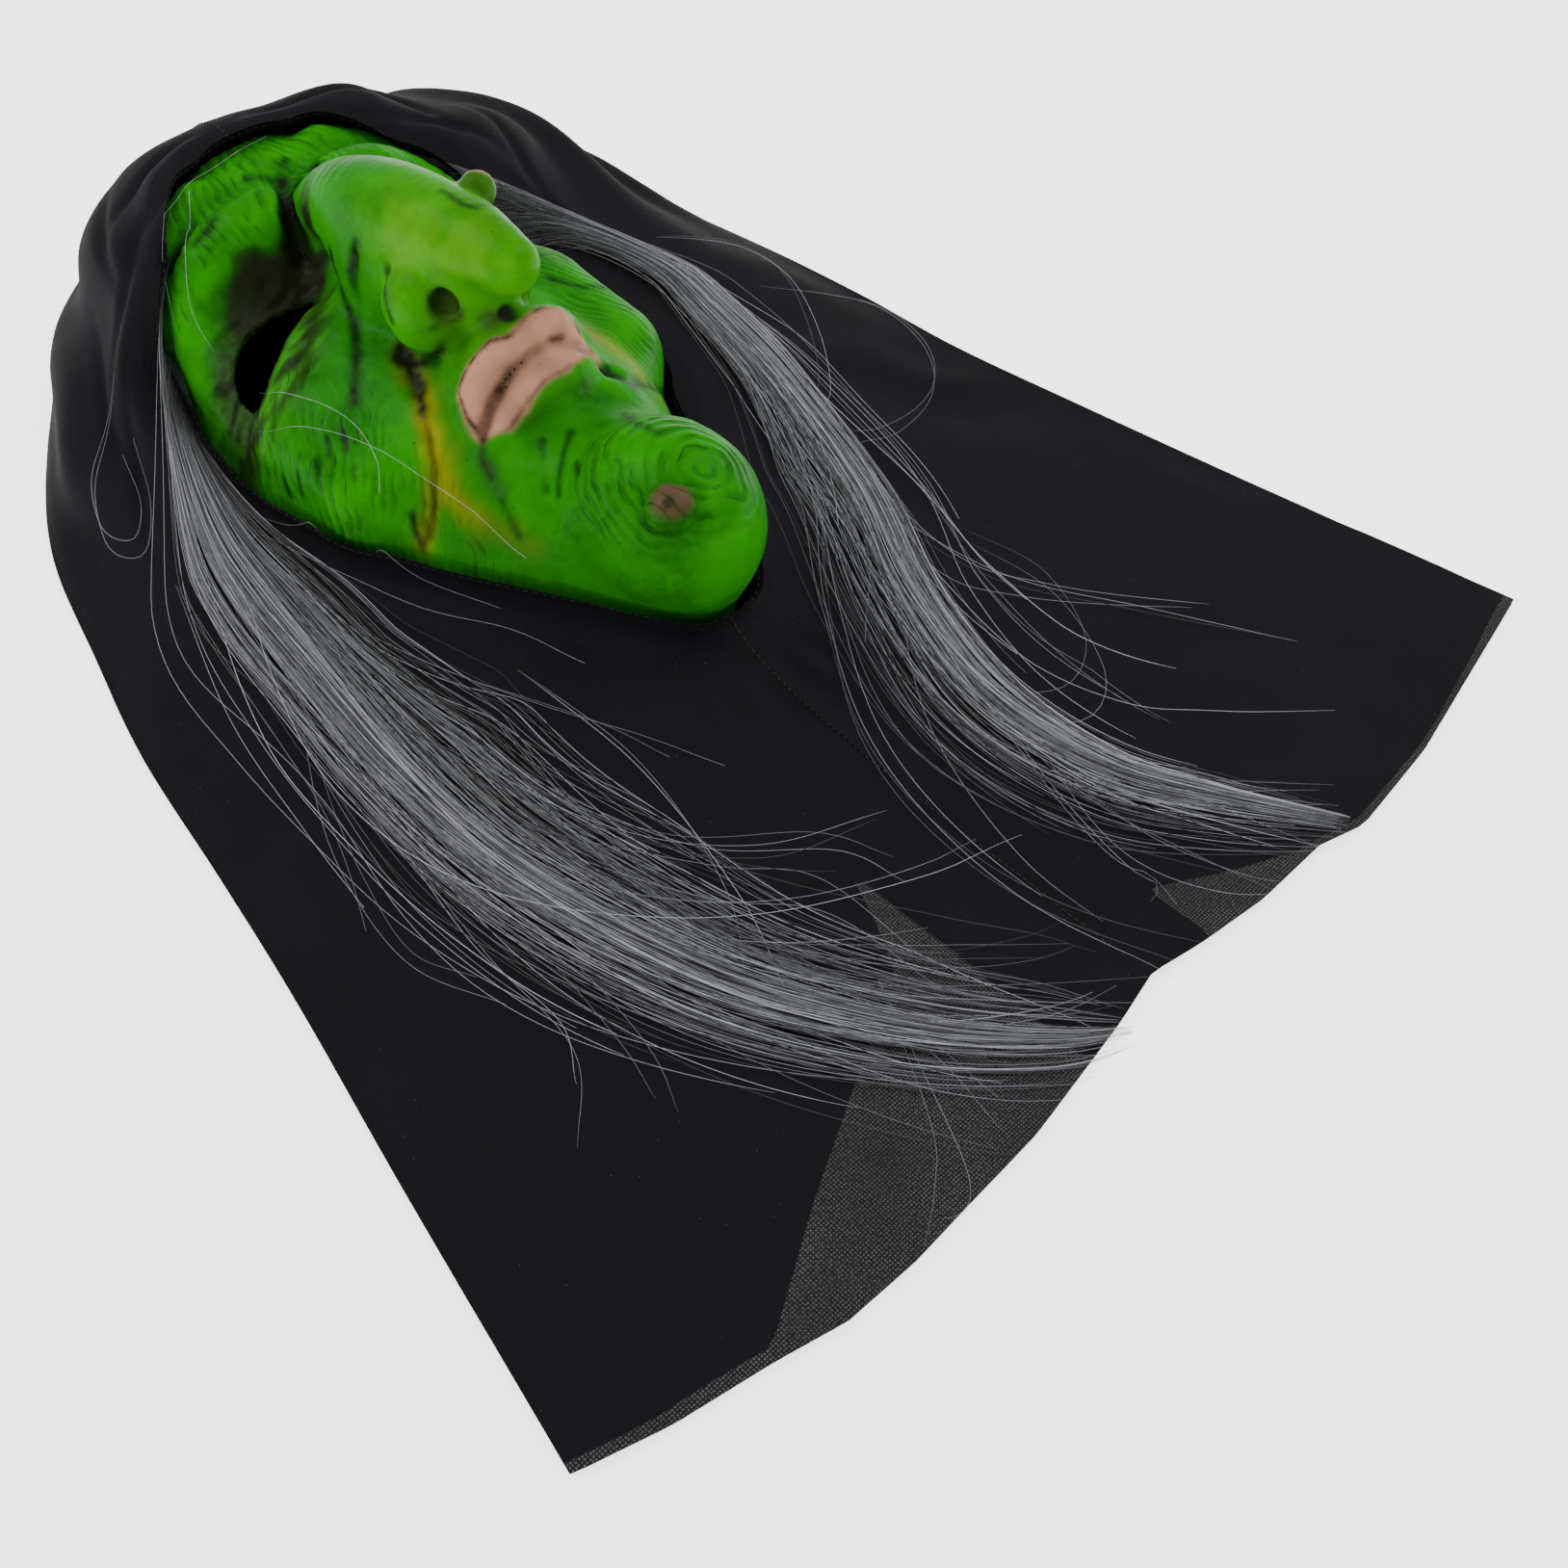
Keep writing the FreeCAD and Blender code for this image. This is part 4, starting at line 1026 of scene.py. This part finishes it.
right_grid, left_grid = front_grids["right"], front_grids["left"]
back_seam = [(0, y, 1.2) for y in range(248, -96, -4)]
stitch_row("crown_stitches", right_grid[10:-8, 0], 2.6, 0.7, 0.5, "crown_seam_thread")
stitch_row("centre_front_stitches", right_grid[10:-2, -1], 2.6, 0.7, 0.45, "front_seam_thread", bends=True)
stitch_row("back_seam_stitches", back_seam, 2.6, 0.7, 0.5, "back_seam_thread")
# the rim is sewn along the cloth's fourth row; its first columns belong to the brow
brow_end = int(0.19 * CLOTH_COLUMNS)
for name, grid in front_grids.items():
    stitch_row("rim_stitches_" + name, grid[3, brow_end:-1], 3.4, 0.6, 0.3, "rim_stitching_" + name)
brow_line = np.concatenate([right_grid[3, brow_end:0:-1], left_grid[3, :brow_end]])
stitch_row("brow_stitches", brow_line, 3.4, 0.6, 0.3, "brow_stitching")

# a woven tape with the hair's roots knotted along it, inside the rim at each temple
TAPE_SECTION = [(-0.9, 0), (-0.9, 3.8), (-0.5, 7.6), (0.1, 8.0), (0.6, 7.4), (0.9, 4.2), (0.9, 0.4),
                (0.3, -0.1)]
TAPE_X, TAPE_Z = 82, 14.0
for name, _, side in SIDES:
    tape = [
        (side * (TAPE_X + x + 0.25 * math.sin(y * 4.2)), y, TAPE_Z + z + 0.3 * math.sin(y * 0.7))
        for y in np.linspace(142, 176, 60) for x, z in TAPE_SECTION
    ]
    weft = make_mesh("weft_tape_" + name, tape, grid_faces(60, len(TAPE_SECTION), closed=True), TAPE_LOOK)
    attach(weft, "head")
    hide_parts("hair_weft_" + name)


# --- the hair: two hanks of loose strands ---

# centre line and half width of each hank, from its root under the rim to its tip
HANK_LINES = {
    "right": [
        (-90, 146, 10), (-96, 108, 15), (-104, 60, 21), (-109, 14, 20), (-113, -26, 18), (-113, -74, 17),
        (-104, -124, 16), (-88, -170, 13), (-63, -212, 10), (-37, -241, 7), (-20, -254, 3),
    ],
    "left": [
        (103, 150, 8), (118, 112, 12), (115, 61, 15), (104, 10, 15), (86, -45, 15), (62, -92, 14),
        (48, -140, 14), (52, -185, 12), (68, -218, 9), (90, -254, 4),
    ],
}
STRANDS = {"right": 380, "left": 260}
# single hairs that leave the hanks, and hairs that lie across the face, as (x, y)
LOOSE_HAIRS = {
    "right": [
        [(-103, 83), (-93, 39), (-75, -5), (-55, -38), (-18, -68), (18, -101)],
        [(-101, 74), (-93, -1), (-89, -59), (-76, -107), (-52, -136), (-17, -148)],
        [(-94, 54), (-91, -15), (-83, -71), (-65, -118), (-34, -148), (-28, -171)],
        [(-90, 36), (-74, -20), (-57, -61), (-49, -87)],
        [(-118, 92), (-138, 32), (-147, -20), (-152, -60)],
        [(-116, 23), (-135, -20), (-146, -53), (-152, -84), (-144, -105)],
        [(-131, -52), (-138, -99), (-137, -135), (-147, -154)],
        [(-125, -69), (-125, -112), (-129, -152), (-134, -173)],
        [(-109, -74), (-100, -110), (-78, -153), (-47, -186), (-9, -221)],
        [(-108, -102), (-91, -145), (-69, -187), (-40, -220), (-9, -251)],
        [(-106, -60), (-87, -96), (-66, -128), (-46, -152), (-44, -196)],
        [(-69, 71), (-74, 47), (-68, 14), (-49, -11), (-19, -44), (-14, -73)],
        [(-84, 170), (-109, 156), (-121, 134), (-117, 119), (-106, 130), (-98, 153)],
        [(-60, -190), (-84, -233), (-99, -248), (-113, -257)],
        [(-86, -140), (-66, -204), (-64, -241)],
        [(-61, -25), (-59, -83), (-69, -140), (-84, -177)],
    ],
    "left": [
        [(147, 73), (178, 43), (176, 11), (155, -16), (124, -27), (109, -21)],
        [(101, -13), (88, -85), (102, -120), (137, -163)],
        [(86, -37), (93, -104), (119, -151), (145, -195)],
        [(130, 116), (160, 98), (159, 62), (122, 8), (90, -2)],
        [(63, -74), (52, -131), (68, -153), (92, -144), (107, -111), (102, -77)],
        [(47, -126), (27, -203), (29, -222), (26, -235)],
        [(38, -173), (66, -213), (95, -239)],
        [(41, -171), (41, -212), (49, -241), (57, -254)],
        [(120, 120), (108, 60), (84, 10), (70, -40), (30, -70)],
    ],
}
FACE_HAIRS = [
    [(-63, 104), (-58, 92), (-53, 78), (-51, 64), (-54, 50), (-60, 42)],
    [(-72, 96), (-63, 80), (-52, 52), (-44, 22), (-38, -6)],
    [(-84, 98), (-74, 62), (-62, 26), (-50, -4)],
    [(-88, 92), (-78, 48), (-68, 16), (-52, -14), (-44, -40)],
    [(-66, 150), (-50, 176), (-24, 190), (12, 198)],
    [(-62, 132), (-58, 150), (-44, 168), (-30, 186)],
]
STRAND_POINTS = 64
UPPER_POINTS, LOWER_POINTS = 52, 28
CLUMPS = 26
SETTLING_STEPS = 45
LOOSE_SHARE = 0.50
STRAY_SHARE = 0.14
ROOT_Y, ROOT_REACH = 146, 24
HAIR_END = -258.0
# where each hank is split between what rides the cape and its tail
LIFT_CUT = -133.0

under_hair = [(face_verts, face_quads)]
under_hair += [(grid.reshape(-1, 3), front_faces[name]) for name, grid in front_grids.items()]
bases = np.cumsum([0] + [len(verts) for verts, _ in under_hair[:-1]])
joined_verts = np.concatenate([verts for verts, _ in under_hair])
joined_faces = np.concatenate([faces + base for (_, faces), base in zip(under_hair, bases)])
ground_tree = BVHTree.FromPolygons(joined_verts.tolist(), joined_faces.tolist())
OVERHEAD = 200.0
BARE_GROUND = 0.6


def ground_height(x, y):
    """The height of the face or the cloth at a spot."""
    hit = ground_tree.ray_cast(Vector((x, y, OVERHEAD)), Vector((0, 0, -1)))[0]
    return hit.z if hit else BARE_GROUND


def sway(strength):
    """A smooth random wander across the hank, as a share of its half width, along a strand."""
    keys = np.cumsum(RANDOM.normal(0, strength, 5)) * np.linspace(0.3, 1.0, 5)
    return smooth_path(keys[:, None], STRAND_POINTS)[:, 0]


def hank_strands(name, side):
    """A hank's strands with each one's tone and radius: a close core and a loose spread round it."""
    guide = smooth_path(HANK_LINES[name], 200)
    along = lengths_along(guide[:, :2])
    along /= along[-1]
    rim = front_grids[name][1, :CLOTH_COLUMNS // 2]
    count = STRANDS[name] // 1
    clump_at = RANDOM.normal(side * 0.15, 0.28, CLUMPS)
    clump_sway = [sway(0.13) for _ in range(CLUMPS)]
    lines, marks = [], []
    for _ in range(count):
        loose = RANDOM.random() < LOOSE_SHARE
        clump = RANDOM.integers(CLUMPS)
        end = 1.0 - (0.5 if loose else 0.22) * RANDOM.random() ** 1.8
        t = np.linspace(0, end, STRAND_POINTS)
        centre = np.stack([np.interp(t, along, guide[:, k]) for k in range(3)], 1)
        heading = np.gradient(centre[:, :2], axis=0)
        heading /= np.linalg.norm(heading, axis=1, keepdims=True)
        aside = np.stack([-heading[:, 1], heading[:, 0]], 1)
        if loose:
            across = RANDOM.normal(-side * 0.50, 0.60) + sway(0.50)
            beside_face = np.interp(t, (0.08, 0.30, 0.42), (0.35, 0.6, 1.0))
            across = np.where(side * across < 0, across * beside_face, across)
        else:
            across = clump_at[clump] + clump_sway[clump] + RANDOM.normal(0, 0.06) + sway(0.05)
        offset = np.clip(across, -2.6, 2.6) * centre[:, 2]
        if RANDOM.random() < STRAY_SHARE:
            beyond = np.clip(t - (0.15 + 0.7 * RANDOM.random()), 0, 1)
            drift = RANDOM.normal(-side * 30, 75) * beyond**1.6
            offset = offset + drift + RANDOM.normal(0, 8) * np.sin(6 * beyond)
        xy = centre[:, :2] + aside * offset[:, None]
        # each strand comes out from under the rim and then joins the hank
        outward = np.clip(side * across[0], -1, 1)
        spot = rim[np.argmin(np.abs(rim[:, 1] - (ROOT_Y + ROOT_REACH * outward)))]
        joins = soft_step(0.0, 0.16, t)[:, None]
        xy = spot[:2] * (1 - joins) + xy * joins
        # the hank is thickest at its middle, and thins out towards both ends
        round_off = np.sqrt(np.clip(1 - np.clip(np.abs(across), 0, 1) ** 2, 0, 1))
        thickness = np.interp(t, (0, 0.1, 0.8, 1), (0.2, 1, 0.7, 0.25))
        rise = 0.5 + 6.5 * (0.3 + 0.7 * round_off) * RANDOM.random() * thickness
        lines.append(np.concatenate([xy, rise[:, None]], 1))
        marks.append((0.95 * RANDOM.random() ** (2.6 if loose else 1.9) + 0.03, RANDOM.uniform(0.07, 0.12)))
    return np.array(lines), np.array(marks)


def settle(lines):
    """Lays strands on what is under them, and spans its dips, as stiff hair does."""
    heights = np.array([[ground_height(x, y) for x, y, _ in line] for line in lines])
    highest = heights.copy()
    for _ in range(SETTLING_STEPS):
        padded = np.concatenate([highest[:, :1], highest, highest[:, -1:]], 1)
        highest = np.maximum(heights, (padded[:, :-2] + 2 * highest + padded[:, 2:]) / 4)
    lines[:, :, 2] += highest
    return lines


def split_strands(lines, marks, cut):
    """The parts of each strand above and below a line across the cape, with a shared end there."""
    upper, lower = [], []
    for line, mark in zip(lines, marks):
        below = np.nonzero(line[:, 1] < cut)[0]
        if not len(below) or below[0] == 0:
            (upper if not len(below) else lower).append((line, mark))
            continue
        k = below[0]
        share = (line[k - 1, 1] - cut) / (line[k - 1, 1] - line[k, 1])
        meet = line[k - 1] + share * (line[k] - line[k - 1])
        upper.append((np.vstack([line[:k], meet]), mark))
        lower.append((np.vstack([meet, line[k:]]), mark))
    return upper, lower


def resampled(line, count):
    """The same line with its points evenly spaced."""
    along = lengths_along(line)
    where = np.linspace(0, along[-1], count)
    return np.stack([np.interp(where, along, line[:, k]) for k in range(3)], 1)


def trimmed(lines):
    """Ends each strand where it would leave the cape's hem."""
    ends = [np.argmax(line[:, 1] < HAIR_END) or len(line) for line in lines]
    return np.array([resampled(line[:end], STRAND_POINTS) for line, end in zip(lines, ends)])


def hair_mesh(name, parts, points, is_tail, nodes):
    """A hank's mesh. Tails taper to their tips; other parts are dark at the roots, in the hood's shade."""
    lines = np.array([resampled(line, points) for line, _ in parts])
    marks = np.array([mark for _, mark in parts])
    share = np.linspace(0, 1, points)
    profile = np.interp(share, (0, 0.75, 1), (1, 1, 0.35 if is_tail else 1))
    verts, faces = tubes(lines, marks[:, 1:] * profile[None], 3)
    hank = make_mesh(name, verts, faces, HAIR_LOOK)
    lit = np.interp(share, (0, 0.06, 0.16), (1, 1, 1) if is_tail else (0.05, 0.3, 1))
    store(hank, "tone", np.repeat(marks[:, :1] * lit[None], 3))
    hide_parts(*nodes)
    return hank


def loose_strands(name):
    """The loose hairs of the table, each with a fellow that parts from it, and their tones and radii."""
    lines, marks = [], []
    groups = [(keys, 2, 9.0, 0.5, 0.085) for keys in LOOSE_HAIRS[name]]
    if name == "right":
        groups += [(keys, 1, 2.0, 0.6, 0.065) for keys in FACE_HAIRS]
    for keys, fellows, spread, tone, radius in groups:
        path = smooth_path(keys, STRAND_POINTS)
        t = np.linspace(0, 1, STRAND_POINTS)[:, None]
        for fellow in range(fellows):
            drift = RANDOM.normal(0, spread, 2) * (fellow > 0)
            lean = RANDOM.normal(0, spread * 0.8, 2) * (fellow > 0)
            xy = path + drift * t + lean * np.sin(math.pi * t)
            rise = 0.8 + 2.0 * RANDOM.random() * np.sin(math.pi * t)
            lines.append(np.concatenate([xy, rise], 1))
            marks.append((np.clip(RANDOM.normal(tone, 0.2), 0.08, 1) * (0.6 if fellow else 1), radius))
    lines, marks = np.array(lines), np.array(marks)
    x, y = lines[:, :, 0], lines[:, :, 1]
    keep = ~((np.abs(x) < 36) & (y > -74) & (y < 0)).any(1)
    return lines[keep], marks[keep]


for name, _, side in SIDES:
    hank, hank_marks = hank_strands(name, side)
    loose, loose_marks = loose_strands(name)
    lines = settle(trimmed(np.concatenate([hank, loose])))
    # the first points of the hank's strands dip under the rim
    lines[:len(hank), :4, 2] -= (5.0, 4.0, 2.5, 1.0)
    upper, lower = split_strands(lines, np.concatenate([hank_marks, loose_marks]), LIFT_CUT)
    nodes = ["hair_root_" + name, "hair_middle_" + name]
    upper_hank = hair_mesh("hair_upper_" + name, upper, UPPER_POINTS, False, nodes)
    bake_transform(upper_hank)
    lower_hank = hair_mesh("hair_lower_" + name, lower, LOWER_POINTS, True, ["hair_tail_" + name])
    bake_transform(lower_hank)

# --- camera, floor and light ---

# where the photograph was taken from and what is at its middle, in metres, as fitted to the cape's outline
CAMERA_PLACE = (-0.30015, -0.39250, 0.47092)
CAMERA_TARGET = (-0.0237, -0.1135, 0.0)
camera_data = bpy.data.cameras.new("view")
camera_data.lens, camera_data.sensor_width = 43.2, 36.0
camera = bpy.data.objects.new("view", camera_data)
bpy.context.scene.collection.objects.link(camera)
camera.location = CAMERA_PLACE
aim = Vector(CAMERA_TARGET) - camera.location
camera.rotation_euler = aim.to_track_quat("-Z", "Y").to_euler()
bpy.context.scene.camera = camera

bpy.ops.mesh.primitive_plane_add(size=6.0, location=(0, 0, -0.0006))
floor = bpy.context.object
floor.name = "studio_floor"
floor_looks = Looks("white_floor").set(Roughness=0.85, Base_Color=(0.93, 0.93, 0.93))
floor_looks.set(Emission_Color=(1.0, 1.0, 1.0), Emission_Strength=2.2)
floor.data.materials.append(floor_looks.material)

world = bpy.data.worlds.new("studio")
world.use_nodes = True
sky = world.node_tree.nodes["Background"]
sky.inputs["Color"].default_value = (1.0, 1.0, 1.0, 1.0)
sky.inputs["Strength"].default_value = 0.9
bpy.context.scene.world = world


def area_light(name, location, target, power, width):
    data = bpy.data.lights.new(name, "AREA")
    data.energy, data.size = power, width
    lamp = bpy.data.objects.new(name, data)
    bpy.context.scene.collection.objects.link(lamp)
    lamp.location = location
    lamp.rotation_euler = (Vector(target) - lamp.location).to_track_quat("-Z", "Y").to_euler()
    return lamp


key = area_light("key", (-0.5, 0.9, 1.3), (0, 0, 0), 11.0, 0.9)
fill = area_light("fill", (0.9, -0.3, 1.2), (0, 0, 0), 9.0, 1.0)
